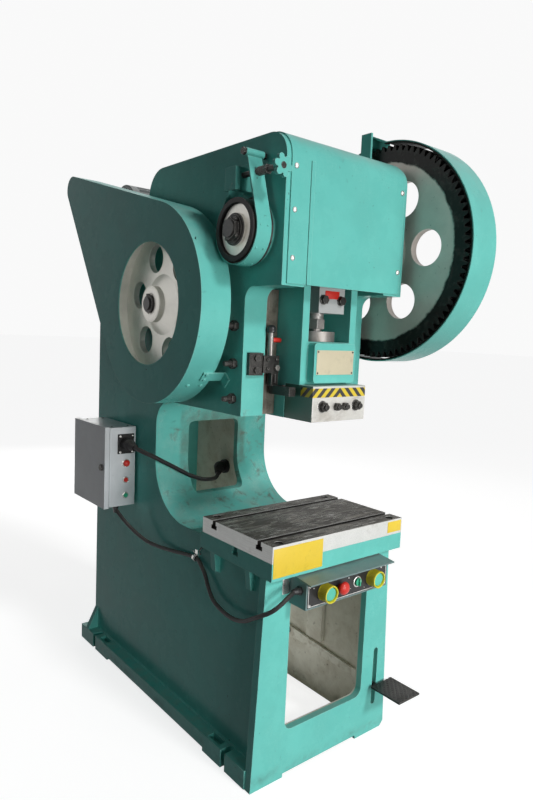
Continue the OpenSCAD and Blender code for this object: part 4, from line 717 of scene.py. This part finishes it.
def clamp_steel():
    """Ground steel with a dark green left side, partly green paint and partly painted shade, and a slanting
    striped band across the front.
    """
    coat = bare_metal("clamp_steel", (0.66, 0.65, 0.61), 0.34, (1, 16, 16), 34, 0.4)
    # Painted shade: the left side's green paint is darkened to the shade that side stands in.
    coat.over(coat.facing((-1, 0, 0)), (0.045, 0.13, 0.10), 0.35, 0.0)
    band = coat.box((-116, 40, 1166), (116, 100, 1194), 0.6)
    x, y, z = put(coat.tree, "ShaderNodeSeparateXYZ", {"Vector": coat.place}).outputs
    lean = calc(coat.tree, "ADD", calc(coat.tree, "ADD", calc(coat.tree, "ABSOLUTE", x), z), y)
    step = calc(coat.tree, "FRACT", calc(coat.tree, "MULTIPLY", lean, 1 / (STRIPE * MM)))
    stripe = level(coat.tree, calc(coat.tree, "ABSOLUTE", calc(coat.tree, "SUBTRACT", step, 0.5)), 0.24, 0.26)
    coat.over(band, mix(coat.tree, stripe, (0.02, 0.02, 0.02), (0.72, 0.55, 0.03)), 0.4, 0.0)
    return coat.done()


def gib_iron():
    coat = Finish("gib_iron", (0.20, 0.17, 0.14), 0.42, 0.12, metal=0.55)
    lines = coat.marks((14, 14, 1), 20)
    coat.over(level(coat.tree, lines, 0.4, 0.7), (0.34, 0.31, 0.27), 0.34, 0.7, 0.6)
    coat.patches(24, 0.4, 0.15, (0.07, 0.055, 0.04), 0.75, 0.4)
    coat.scratches(50, (0.5, 0.48, 0.44), 0.6, 0.3)
    coat.edges((0.5, 0.48, 0.45), 0.6, 0.0015, 60)
    return coat.done()


def pale_paint(name, colour):
    coat = Finish(name, colour, 0.36, 0.05, coat=0.06, specular=0.25)
    coat.patches(9, 0.35, 0.2, tinted(colour, 0.75), 0.4, 0.45)
    coat.patches(60, 0.10, 0.04, (0.12, 0.10, 0.08), 0.8, 0.5)
    coat.edges(tuple(c * 1.4 + 0.03 for c in colour), 0.5, 0.0018, 60)
    coat.dust(DUSTY, 0.3)
    coat.skin(0.4, 0.5)
    return coat.done()


ENAMEL = teal_enamel("enamel_paint").done()
FRAME_PAINT = frame_paint()
WHEEL_PAINT = wheel_paint()
BARE = bare_metal("bare_steel", (0.62, 0.61, 0.59), 0.26).done()
TURNED = bare_metal("turned_steel", (0.22, 0.21, 0.20), 0.3, (26, 26, 1), 30, 0.5).done()
BRONZE = bare_metal("bronze", (0.45, 0.28, 0.12), 0.32, stain=(0.08, 0.06, 0.03)).done()
OXIDE = black_oxide("black_oxide").done()
RUBBER = rubber("black_rubber")
BLACK_PLASTIC = plastic("black_plastic", (0.02, 0.02, 0.021))
GREEN_PLASTIC = plastic("green_plastic", (0.04, 0.42, 0.24))
RED_PLASTIC = plastic("red_plastic", (0.62, 0.03, 0.02))
YELLOW_PLASTIC = plastic("yellow_plastic", (0.72, 0.62, 0.03))
WHITE_LINE = plastic("white_enamel", (0.72, 0.72, 0.70))
PALM_GREEN = plastic("palm_green", (0.10, 0.52, 0.40))
CREAM_PLATE = plastic("cream_plate", (0.62, 0.56, 0.40), 0.4)
YELLOW_PLATE = plastic("yellow_plate", (0.80, 0.58, 0.05), 0.4)
PALE = pale_paint("pale_paint", (0.42, 0.44, 0.44))
CABINET_PAINT = pale_paint("cabinet_paint", (0.66, 0.69, 0.72))

NODE_FINISHES = (
    (FRAME_PAINT, "frame"), (guard_paint_with_painted_shade(), "gear_guard"), (gear_paint(), "main_gear"),
    (WHEEL_PAINT, "flywheel"), (bolster_steel(), "bolster"), (clamp_steel(), "clamp_block"),
    (gib_iron(), "guide_gibs"),
    (drum_paint(), "brake_drum"), (pedal_steel(), "foot_pedal"), (shaft_steel(), "crankshaft drive_shaft"),
    (rubber("friction_lining", (0.05, 0.038, 0.028), 0.8), "brake_lining"),
    (black_oxide("greased_steel", (0.014, 0.013, 0.012), 0.26).done(), "pinion"),
    (BRONZE, "shaft_bushes gear_bush"), (PALE, "motor pinch_cap"),
    (CABINET_PAINT, "control_cabinet cabinet_door"),
    # Painted reflection: the button box's grey paint is tinted teal to stand for the teal frame reflected in
    # it.
    (pale_paint("button_box_paint_teal_reflection", (0.17, 0.25, 0.25)), "button_box"),
    (RUBBER, "v_belts cable_socket cable_gland"), (YELLOW_PLASTIC, "palm_guards"),
    (GREEN_PLASTIC, "palm_button_left palm_button_right start_selector cabinet_green_button"),
    (RED_PLASTIC, "stop_button cabinet_lamp cabinet_red_button"), (BARE, "cover_screws cable_clip"),
    (TURNED, "adjusting_screw ball_ring knockout_rod"),
    (OXIDE, "bolster_bolts gib_studs brake_rod brake_spring rod_bolts clamp_bolts knockout_bracket "
            "motor_pulley shaft_end_nuts starter_gear pedal_pin"))
finish_of = {name: finish for finish, names in NODE_FINISHES for name in names.split()}
for name, node in nodes.items():
    node.data.materials.clear()
    node.data.materials.append(finish_of.get(name, ENAMEL))


# Cables

MOTOR_ROUTE = [
    (-306, 766, 911), (-307, 744, 910), (-303, 722, 907), (-288, 703, 898), (-264, 693, 886),
    (-236, 689, 870), (-210, 688, 856), (-184, 688, 842), (-152, 684, 824), (-120, 682, 807),
    (-86, 685, 793), (-54, 697, 782), (-24, 714, 774), (8, 738, 766), (38, 768, 757),
    (70, 803, 748), (104, 838, 739), (134, 868, 736), (152, 888, 739), (162, 900, 744)]
BUTTON_ROUTE = [
    (-330, 866, 678), (-329, 861, 661), (-318, 831, 634), (-302, 775, 601), (-286, 690, 577),
    (-272, 583, 579), (-264, 491, 590), (-261.5, 432, 597), (-261.5, 402, 597), (-264, 376, 584),
    (-268, 346, 564), (-272, 322, 536), (-276, 286, 504), (-280, 232, 489), (-286, 163, 489),
    (-291, 104, 506), (-294, 56, 533), (-292, 18, 556), (-280, -8, 574), (-256, -18, 592),
    (-226, -16, 607), (-198, -9, 613), (-176, -8, 613)]


def cable(name, route, diameter):
    """A free cable as a curve of one open spline, in place of its CAD node."""
    path = [at(*p) for p in smooth(route)]
    line = bpy.data.curves.new(name + "_line", "CURVE")
    line.dimensions = "3D"
    line.bevel_depth = diameter * MM / 2
    line.bevel_resolution = 5
    line.use_fill_caps = True
    spline = line.splines.new("POLY")
    spline.points.add(len(path) - 1)
    for point, place in zip(spline.points, path):
        point.co = (*place, 1)
    spline.use_smooth = True
    piece = linked(name + "_line", line)
    line.materials.append(RUBBER)
    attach(piece, "frame")
    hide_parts(name)


cable("motor_cable", MOTOR_ROUTE, 16)
cable("button_cable", BUTTON_ROUTE, 13)


# Camera

CAMERA_PLACE = (-1.41204, -1.95694, 1.35534)
YAW, PITCH, ROLL = math.radians(39.472), math.radians(-6.092), math.radians(2.516)
FOCAL_PIXELS = 642.92
PICTURE_HEIGHT = 800
SENSOR = 36

ahead = Vector((math.sin(YAW) * math.cos(PITCH), math.cos(YAW) * math.cos(PITCH), math.sin(PITCH)))
right = ahead.cross(Vector((0, 0, 1))).normalized()
upward = right.cross(ahead)
picture_x = math.cos(ROLL) * right + math.sin(ROLL) * upward
picture_y = math.cos(ROLL) * upward - math.sin(ROLL) * right
lens = bpy.data.cameras.new("camera")
lens.sensor_width = SENSOR
lens.sensor_fit = "AUTO"
lens.lens = FOCAL_PIXELS * SENSOR / PICTURE_HEIGHT
lens.clip_start = 0.05
lens.clip_end = 300
camera = linked("camera", lens)
facing_back = Matrix((picture_x, picture_y, -ahead)).transposed().to_4x4()
camera.matrix_world = Matrix.Translation(CAMERA_PLACE) @ facing_back
scene.camera = camera


# Detail pieces

def button_panel():
    f = BUTTON_FACE
    palms = [(x, BUTTON_Z) for x in (-PALM_X, PALM_X)]
    stop, selector = (STOP_X, BUTTON_Z), (SELECTOR_X, BUTTON_Z)
    holes = [[point.xy for point in circle("z", centre, 0, r, count=40)]
             for centre, r in ((palms[0], 12.4), (palms[1], 12.4), (stop, 9.6), (selector, 9.6))]
    Form().pierced("y", f - 1.2, f - 0.05, rounded(-171, 171, 565, 637, 3), holes).done(
        "panel_face", BLACK_PLASTIC)
    border = rounded(-169, 169, 567, 635, 2.5), [rounded(-167, 167, 569, 633, 2)]
    Form().pierced("y", f - 1.5, f - 0.9, *border).done("panel_border", WHITE_LINE)
    dots = Form()
    for x, z, r in ((-38, 630, 2.4), (36, 631, 1.6), (-2, 622, 2.2), (146, 626, 3.2), (-148, 622, 1.6),
                    (8, 586, 1.2), (-66, 577, 1.2), (70, 577, 1.2)):
        dots.rod("y", (x, z), f - 1.9, f - 1.0, r, 0.4, 16)
    dots.done("panel_dots", WHITE_LINE)
    Form().screws("y", f - 1.2, -1, corners(-163, 163, 573, 629), 3.2, 1.8).done("panel_screws", BARE)
    ring = Form().turned("y", selector, [
        (-1.1, 12.6), (-1.1, 17.5), (-3.2, 17.2), (-4.2, 15.6), (-4.0, 13.4), (-2.0, 12.5)], 48, True, f)
    ring.done("selector_ring", BARE)
    collar = Form()
    for centre in palms:
        for rib in zip(*(circle("y", centre, f + y, 26.3, count=36) for y in (-31.5, -6))):
            collar.tube(rib, 0.7, 6)
        collar.turned("y", centre, [
            (-0.2, 12.4), (-0.2, 27), (-4, 27), (-5, 26.2), (-32.5, 26.2), (-33.6, 25.4), (-34, 24.2),
            (-33.6, 22.8), (-32, 21.8), (-4.5, 21.6), (-4.3, 12.4)], 56, True, f)
    collar.done("palm_collars", YELLOW_PLASTIC, replaces="palm_guards")
    for side, centre in zip(("left", "right"), palms):
        palm = Form().turned("y", centre, [
            (18, 10.9), (-12, 10.9), (-12.2, 18.6), (-13.5, 19.8), (-26.5, 20), (-28.6, 19.3), (-29.8, 17.2),
            (-30, 14), (-29.4, 6)], 56, base=f)
        palm.done("palm_cap_" + side, PALM_GREEN, side + "_palm_button", "palm_button_" + side)
    cap = Form().turned("y", stop, [
        (16, 8.9), (-15, 8.9), (-15.2, 18.8), (-16.4, 20), (-19, 20), (-22, 19), (-25.5, 16), (-28.4, 11),
        (-29.7, 6.5), (-30, 2)], 56, base=f)
    for start in (15, 135, 255):
        cap.tube(circle("y", stop, f - 28.4, 9.8, start, start + 70, 10), 0.7, 6)
    cap.done("stop_cap", RED_PLASTIC, "stop_button", "stop_button")
    knob = Form().turned("y", selector, [
        (16, 8.9), (-5, 8.9), (-5.2, 11), (-6, 12), (-8.6, 12), (-9.6, 11.2), (-10, 9.6)], 48, base=f)
    knob.box(33.2, 38.8, f - 16.5, f - 9, BUTTON_Z - 11, BUTTON_Z + 11, 1.6)
    knob.done("selector_knob", GREEN_PLASTIC, "selector", "start_selector")
    Form().box(35.3, 36.7, f - 16.9, f - 16.3, BUTTON_Z + 2, BUTTON_Z + 10).done(
        "selector_line", WHITE_LINE, "selector")
    gland = Form().hexagon("x", (-8, 613), -176, -184, 24)
    gland.turned("x", (-8, 613), [(-183, 11.5), (-189, 11.2), (-190, 9.8), (-202, 8.2), (-207, 7.1)], 32)
    gland.done("box_gland", BLACK_PLASTIC)
    Form().box(-205, -178, 35.4, 36.8, 590, 640, 0.5).done("gland_plate", BARE)


def cabinet_details():
    y = CABINET_FRONT
    Form().pierced("x", -371.6, -370.1, [(842.5, 676.5), (1111.5, 676.5), (1111.5, 979.5), (842.5, 979.5)],
                   [[(852, 686), (1102, 686), (1102, 970), (852, 970)]]).done("door_gasket", RUBBER, "door")
    lock = Form().turned("x", (867, 828), [
        (-389, 13), (-391.5, 13), (-393, 11.5), (-396, 10.8), (-396.8, 9.4), (-396.8, 6)])
    lock.box(-397.6, -395, 865.6, 868.4, 821, 835, 0.5)
    lock.done("door_lock", OXIDE, "door")
    pins = Form()
    for z in (746, 952):
        pins.rod("z", (-376, 1118.6), z, z + 4, 4.2, 1.2, 20)
    pins.done("hinge_caps", BARE)
    Form().screws("y", y - 8, -1, corners(-330, -280, 885, 945), 4.2, 1.8).done("socket_screws", BARE)
    rim = rounded(-336, -274, 879, 951, 4), [rounded(-331, -279, 884, 946, 3)]
    Form().pierced("y", y - 6.4, y - 4.9, *rim).done("socket_rim", RUBBER)
    cap = Form()
    for start in (y - 11, y - 18, y - 25):
        cap.turned("y", CABLE_SOCKET, [(0, 22), (-0.6, 24), (-3.4, 24), (-4, 22)], base=start)
    cap.done("socket_collar", RUBBER)
    bezels = Form()
    for z, r in ((841, 12), (777, 8.4), (718, 8.4)):
        bezels.turned("y", (-302, z), [
            (-0.1, r + 0.3), (-0.1, r + 4.4), (-2.4, r + 4), (-3.4, r + 2.6), (-3.2, r + 0.3)], 44, True, y)
    bezels.done("cabinet_bezels", BARE)
    flange = Form()
    for x1, z0, z1 in ((-264.4, 678.6, 684), (-364.6, 684, 972), (-264.4, 972, 977.6)):
        flange.box(-369.4, x1, y - 1.6, y - 0.2, z0, z1, 0.5)
    flange.done("cabinet_flange", CABINET_PAINT)
    Form().screws("z", 978, 1, corners(-350, -285, 870, 1085), 4, 1.8).done("cabinet_top_screws", OXIDE)
    gland = Form().hexagon("z", (-330, 866), 678, 671, 24)
    gland.turned("z", (-330, 866), [(672, 11.5), (667, 11.2), (666, 9.8), (655, 8.2), (650, 7.1)], 32)
    gland.done("cabinet_gland", BLACK_PLASTIC)
    inside = Form().screws("x", -302, -1, [(896 + i * 24, z) for i in range(7) for z in (730, 754)], 3.2, 1.6)
    inside.screws("x", -328, -1, [(v, z) for v in (890, 922, 962, 994) for z in (860, 922)], 3.6, 1.8)
    inside.done("terminal_screws", BRONZE)
    wires = Form()
    for i in range(6):
        y0 = 896 + i * 24
        y1 = 890 + (i % 3) * 22 + (72 if i > 2 else 0)
        wires.tube(smooth([(-298, y0, 762), (-314, y0 + 1, 778), (-318, (y0 + y1) / 2, 806 + 3 * i),
                           (-314, y1, 838), (-300, y1, 853)], 4), 1.7, 7)
    wires.done("cabinet_wires", RUBBER)


def cable_fittings():
    tie = Form().turned("y", (-261.5, 597), [(408, 9.4), (408, 11), (413, 11), (413, 9.4)], 32, True)
    tie.box(-268, -262, 407.5, 413.5, 605, 611, 1)
    tie.tube([(-264, 410.5, 610), (-268, 411, 618), (-275, 412, 625), (-281, 413, 628)],
             [1.3, 1.3, 1.2, 0.8], 6)
    tie.done("cable_tie", WHITE_LINE)
    start, end = Vector((192, 932, 760)), Vector(MOTOR_ROUTE[-1])
    profile = []
    for i in range(7):
        a = 6 + i * 6.2
        r = 22.5 - i * 1.5
        profile += [(a, r - 2.4), (a + 1.4, r), (a + 3.4, r), (a + 4.8, r - 2.4)]
    profile.append((min(a + 8, (end - start).length + 6), 9.2))
    Form().aimed(start, (end - start).normalized(), profile).done("cable_boot", RUBBER)
    hook = ((-254, 640), (-262, 640), (-267, 634), (-267, 624), (-262, 618))
    Form().tube([(x, 382, z) for x, z in hook], 2.4, 10).done("cable_hook", OXIDE)


def brake_details():
    turns, per = 7, 16
    steps = turns * per
    coil = [around("y", BRAKE_ROD, 82 + 29.5 * i / steps, 10.6, 2 * math.pi * i / per)
            for i in range(steps + 1)]
    Form().tube(coil, 1.9).done("tension_spring", OXIDE, replaces="brake_spring")
    rivets = Form()
    profile = [(-0.6, 3.4), (0.6, 3.4), (1.5, 2.6), (1.9, 1.2)]
    for i in range(6):
        for x in (-312, -286):
            rivets.outward(CRANK, x, 97.1, 176 + 38 * i, profile, 18)
    rivets.done("band_rivets", ENAMEL)
    Form().turned("x", CRANK, [(-328, 73), (-328, 88), (-330.4, 87.2), (-330.4, 73.8)], 72, True).done(
        "drum_rim", RUBBER, "crankshaft")
    collar = Form().turned("x", CRANK, [
        (-320, 30), (-320, 46), (-330.6, 45), (-331, 43), (-331, 30)], 56, True)
    for spot in circle("x", CRANK, 0, 32, 38, 398, 4):
        collar.rod("x", spot.yz, -334, -343, 6.6, 1.4, 24)
        collar.rod("x", spot.yz, -343, -344.2, 3.2, 0.4, 6)
    collar.tube(circle("x", CRANK, -335, 30, 100, 124, 2), 4)
    collar.done("crank_end_bolts", OXIDE, "crankshaft")
    Form().aimed((-351.8, *CRANK), (-1, 0, 0), [
        (-0.6, 23), (0.0, 21.5), (0.0, 6), (-1.2, 4.5), (-1.2, 1)], 40).done(
        "crank_end_face", OXIDE, "crankshaft")
    Form().turned("y", BRAKE_ROD, [(8.4, 8.8), (7.2, 8.4), (6.4, 7), (6.2, 3)], 32).done(
        "handwheel_centre", OXIDE, "handwheel")
    Form().screws("x", -262, -1, corners(176, 238, 1742, 1820), 6, 4).done("anchor_screws", ENAMEL)


def far_arc(x, centre, r1, r2, distance, angle, count):
    """For a line tight round two circles: its arc on the far one, and the lean of its straight runs."""
    lean = math.degrees(math.acos((r1 - r2) / distance))
    far = around("x", centre, 0, distance, math.radians(angle)).yz
    return circle("x", far, x, r2, angle - lean, angle + lean, count), lean


def guard_details():
    Form().tube(circle("x", DRIVE, -395.8, 196.6, count=120), 2.1, closed=True).done("window_bead", ENAMEL)
    small, lean = far_arc(-395.6, DRIVE, 318, 46, 747, 36, 20)
    big = circle("x", DRIVE, -395.6, 318, 36 + lean, 396 - lean, 90)
    Form().tube(big + small, 2.2, closed=True).done("belt_guard_seam", ENAMEL)
    heads = Form()
    for x in (-362, -316):
        heads.outward(DRIVE, x, 319.6, 230, [(-0.5, 6), (2.4, 6), (4, 4.4), (4.4, 2.4), (3.0, 1.8)], 22)
    for y, z in ((262, 1610), (640, 1100), (860, 1380)):
        heads.aimed((-397.9, y, z), (-1, 0, 0), [(-0.4, 4.2), (0.1, 4.2)], 18)
    heads.done("belt_guard_screws", ENAMEL)
    x = 399.8
    small, lean = far_arc(x, CRANK, 363.8, 104, 424.3, -29.4, 24)
    rise = circle("x", CRANK, x, 363.8, lean - 29.4, 76.2, 12)
    corner = [Vector((x, CRANK_Y + 87, CRANK_Z + 405)), Vector((x, CRANK_Y - 5, CRANK_Z + 363.6))]
    big = circle("x", CRANK, x, 363.8, 92, 330.6 - lean, 80)
    Form().tube(small + rise + corner + big, 2.1, closed=True).done("gear_guard_edge", ENAMEL)
    Form().screws("y", 257.2, 1, corners(300, 326, 2003, 2024), 5, 3).done("gear_guard_screws", ENAMEL)


def wheel_details():
    Form().turned("x", DRIVE, [
        (-381.8, 31), (-384.6, 31.5), (-386.2, 34), (-386.2, 47), (-384.4, 52), (-381.8, 55)], 56, True).done(
        "flywheel_hub_ring", WHEEL_PAINT, "drive")
    end = Form().turned("x", DRIVE, [
        (-382, 29), (-391, 29), (-393, 27), (-393, 12), (-396.5, 11), (-397, 9), (-397, 4), (-395, 3)])
    end.box(-395.5, -388, DRIVE_Y - 6, DRIVE_Y + 6, DRIVE_Z + 17, DRIVE_Z + 32, 1.2)
    end.done("drive_shaft_end", OXIDE, "drive")
    Form().turned("x", DRIVE, [(374, 27.2), (374, 33), (378, 33), (378, 27.2)], 44, True).done(
        "pinion_collar", OXIDE, "drive")
    cap = Form()
    for spot in circle("x", CRANK, 0, 46, 30, 390, 3):
        cap.rod("x", spot.yz, 398, 404, 7, 1.4, 24)
    cap.turned("x", CRANK, [(398.0, 60), (399.2, 58), (399.2, 54), (398, 52)], 60, True)
    cap.done("gear_cap_bolts", OXIDE, "crankshaft")


def motor_details():
    y, z, end = MOTOR_Y, MOTOR_Z, 154
    grille = Form()
    for r in (22, 38, 54, 70):
        grille.tube(circle("x", (y, z), end + 0.6, r, count=56), 1.6, closed=True)
    for i in range(6):
        a = math.pi * i / 3 + 0.26
        grille.tube([around("x", (y, z), end + 0.6, r, a) for r in (12, 82)], 1.8)
    grille.turned("x", (y, z), [(-0.5, 14), (2, 13), (2.6, 10), (2.6, 3)], 32, base=end)
    grille.turned("x", (y, z), [
        (-6, 92.2), (-6, 93.4), (-1, 93.2), (1.4, 90), (1.4, 84), (-0.4, 83)], 64, True, end)
    grille.done("fan_grille", PALE)
    Form().box(-99, 17, y - 132, y - 127.6, z - 13, z + 73, 1.8).done("terminal_lid", PALE)
    Form().screws("y", y - 132, -1, corners(-92, 10, z - 6, z + 66), 4, 2).done(
        "terminal_screws_outer", OXIDE)
    lift = Form().rod("z", (-40, y), z + 88, z + 96, 13, 2)
    lift.tube(circle("x", (y, z + 112), -40, 17, -90, 270, 24), 4.4, 12, closed=True)
    lift.done("motor_eyebolt", OXIDE)
    feet = Form()
    for place in corners(-124, 12, y - 76, y + 76):
        feet.rod("z", place, z - 100, z - 97.5, 11, 0.5)
        feet.hexagon("z", place, z - 97.5, z - 89, 17, 0.3)
    feet.done("motor_foot_bolts", OXIDE)
    Form().box(-70, -12, y - 133, y - 131.6, z + 14, z + 48, 0.4).done("motor_blank_plate", BARE)
    pipe = Form().hexagon("z", (-41, y - 108), z - 12, z - 20, 27)
    bends = ((108, 18), (108, 50), (114, 70), (134, 92), (156, 110), (163, 130), (163, 171.7))
    pipe.tube(smooth([(-41, y - v, z - w) for v, w in bends], 5), 9, 14)
    pipe.hexagon("z", (-41, y - 163), 1640, 1648, 27)
    pipe.done("motor_conduit", RUBBER)


def ram_details():
    Form().box(-78, 80, 73.6, 75.2, 1232, 1306, 0.4).done("ram_blank_plate", CREAM_PLATE, "ram")
    Form().screws("y", 73.6, -1, corners(-73, 75, 1237, 1301), 3, 1.4, False).done(
        "ram_plate_rivets", OXIDE, "ram")
    washers = Form()
    for x in (-72, 72):
        washers.turned("y", (x, 1139), [(46.9, 17.4), (46.9, 19.5), (45.6, 19), (45.6, 17.2)], 36, True)
    washers.done("clamp_washers", BARE, "ram")
    seam = Form()
    for x in (-88.6, 88.6):
        seam.tube(evenly([(x, 105.6, 1215), (x, 105.6, 1318)], 6), 2.6)
    seam.done("ram_box_weld", ENAMEL, "ram")
    Form().box(-30, 30, 100.6, 102.2, 1462, 1486, 0.5).done("pinch_block_tab", RED_PLASTIC, "rod")
    Form().rod("x", (196, 1330), -153, -121.6, 7.4, 2).done("stop_rod_grip", RED_PLASTIC)
    Form().turned("z", (-158, 196), [
        (1352, 9), (1352, 12), (1354, 14), (1362, 14.4), (1370, 12), (1374.5, 7), (1375.6, 2)], 32).done(
        "stop_rod_ball", BLACK_PLASTIC)
    heads = Form().screws("y", 186, -1, [(-176, 1243), (-176, 1270), (-142, 1272)], 5.5, 5, False)
    heads.rod("z", (-138, 150), 1191, 1196, 6, 1.2)
    heads.tube([(-146, 184, 1200), (-146, 184, 1226)], 4.5, 12)
    heads.done("bracket_screws", OXIDE)
    thread = Form()
    for i in range(11):
        thread.turned("z", (0, CRANK_Y), [(0, 25.6), (0.9, 26.6), (1.8, 25.6)], 48, base=1402 + i * 2.4)
    thread.done("screw_thread", TURNED, "rod")


def table_details():
    Form().box(-276, -84, -0.9, 0.1, 664, 750, 0.3).done("table_blank_plate", YELLOW_PLATE)
    Form().box(210, 276, -0.9, 0.1, 716, 752, 0.3).done("bolster_blank_plate", YELLOW_PLATE)
    beads = Form()
    for i, x in enumerate((-255, 255)):
        edge = x * 255.5 / 255
        beads.weld([(x, 66, 70), (x, 66, 652)], 2.6, 3 + i)
        beads.weld([(edge, 68, 653.6), (edge, 358, 653.6)], 2.2, 5 + i)
        beads.weld([(x, 68, 59.4), (x, 1180, 59.4)], 2.6, 7 + i)
        for y in (104, 128, 284, 308):
            beads.weld([(x, y, 588), (x, y, 651)], 2, 9 + i)
    beads.done("frame_welds", FRAME_PAINT, turn_limit=60)
    Form().box(224, 241.6, 292, 372, 214, 636, 2.5).done("inner_wall_rib", FRAME_PAINT)


def pedal_details():
    tread = Form()
    for i in range(11):
        for j in range(13):
            place = Matrix.Translation((214.5 + i * 9.5, -90 + j * 9.7, 173))
            turn = place @ Matrix.Rotation(math.radians(45 if (i + j) % 2 else -45), 4, "Z")
            tread.box(-4.2, 4.2, -1.1, 1.1, -0.2, 1.3, 0.5, turn)
    tread.done("pedal_tread", OXIDE, "pedal")
    Form().hexagon("x", (480, 190), 262, 271, 22).done("pedal_pin_nut", OXIDE)


for add_details in (button_panel, cabinet_details, cable_fittings, brake_details, guard_details,
                    wheel_details, motor_details, ram_details, table_details, pedal_details):
    add_details()


# Floor, backdrop and lamps

FLOOR_HALF = 60.0
WARM, COOL = (1.0, 0.99, 0.97), (0.92, 0.96, 1.0)


def direct_rays(tree):
    """1 where the ray comes from the camera, from a shiny surface or through glass."""
    rays = put(tree, "ShaderNodeLightPath").outputs
    seen = calc(tree, "MAXIMUM", rays["Is Camera Ray"], rays["Is Glossy Ray"])
    return calc(tree, "MAXIMUM", seen, rays["Is Transmission Ray"])


def stand_floor():
    """Pale to the camera and dull to the part, so that the floor doesn't light the sides from below."""
    shape = bpy.data.meshes.new("floor")
    h = FLOOR_HALF
    shape.from_pydata([(-h, -h, 0), (h, -h, 0), (h, h, 0), (-h, h, 0)], [], [(0, 1, 2, 3)])
    paint = bpy.data.materials.new("floor_paint")
    paint.use_nodes = True
    tree = paint.node_tree
    seen = direct_rays(tree)
    tone = mix(tree, seen, (0.10, 0.10, 0.10), (0.45, 0.45, 0.45))
    glow = mix(tree, seen, (0, 0, 0), (0.80, 0.80, 0.80))
    for name, value in (("Base Color", tone), ("Roughness", 0.95), ("Specular IOR Level", 0.0),
                        ("Emission Color", glow), ("Emission Strength", 1.0)):
        join(tree, value, tree.nodes["Principled BSDF"].inputs[name])
    shape.materials.append(paint)
    linked("floor", shape)


def light_room():
    """A white backdrop that lights the part only faintly."""
    scene.world = bpy.data.worlds.new("room")
    scene.world.use_nodes = True
    tree = scene.world.node_tree
    tree.nodes.clear()
    dim = put(tree, "ShaderNodeBackground", {"Color": COOL, "Strength": 0.045}).outputs[0]
    white = put(tree, "ShaderNodeBackground", {"Color": (0.95, 0.95, 0.95), "Strength": 1.0}).outputs[0]
    both = put(tree, "ShaderNodeMixShader", {0: direct_rays(tree), 1: dim, 2: white})
    put(tree, "ShaderNodeOutputWorld", {"Surface": both.outputs[0]})


def lamp(name, place, target, size, power, colour=(1, 1, 1)):
    data = bpy.data.lights.new(name, "AREA")
    data.shape = "RECTANGLE"
    data.size, data.size_y = size
    data.energy = power
    data.color = colour
    light = linked(name, data)
    light.location = place
    light.rotation_euler = (Vector(target) - Vector(place)).to_track_quat("-Z", "Y").to_euler()


def daylight(direction, strength, width):
    data = bpy.data.lights.new("daylight", "SUN")
    data.energy = strength
    data.angle = math.radians(width)
    light = linked("daylight", data)
    light.rotation_euler = Vector(direction).to_track_quat("Z", "Y").to_euler()


stand_floor()
light_room()
daylight((0.5, -3.2, 2.2), 1.3, 9)
lamp("front", (0.2, -4.4, 0.8), (0, 0, 0.8), (3.0, 1.2), 112, WARM)
lamp("fill", (-4.2, -1.0, 2.6), (0, 0, 1.0), (2.5, 2.5), 3, COOL)
lamp("rear", (1.6, 4.4, 2.0), (0, 0.3, 1.0), (2.5, 1.5), 40, WARM)
lamp("base", (-0.04, 0.0, 0.01), (-0.04, 0.0, 1.0), (0.34, 0.8), 0.9)
lamp("side", (4.0, 0.6, 2.6), (0, 0, 1.0), (2.5, 2.5), 10, (1.0, 0.98, 0.95))
scene.view_settings.view_transform = "Standard"
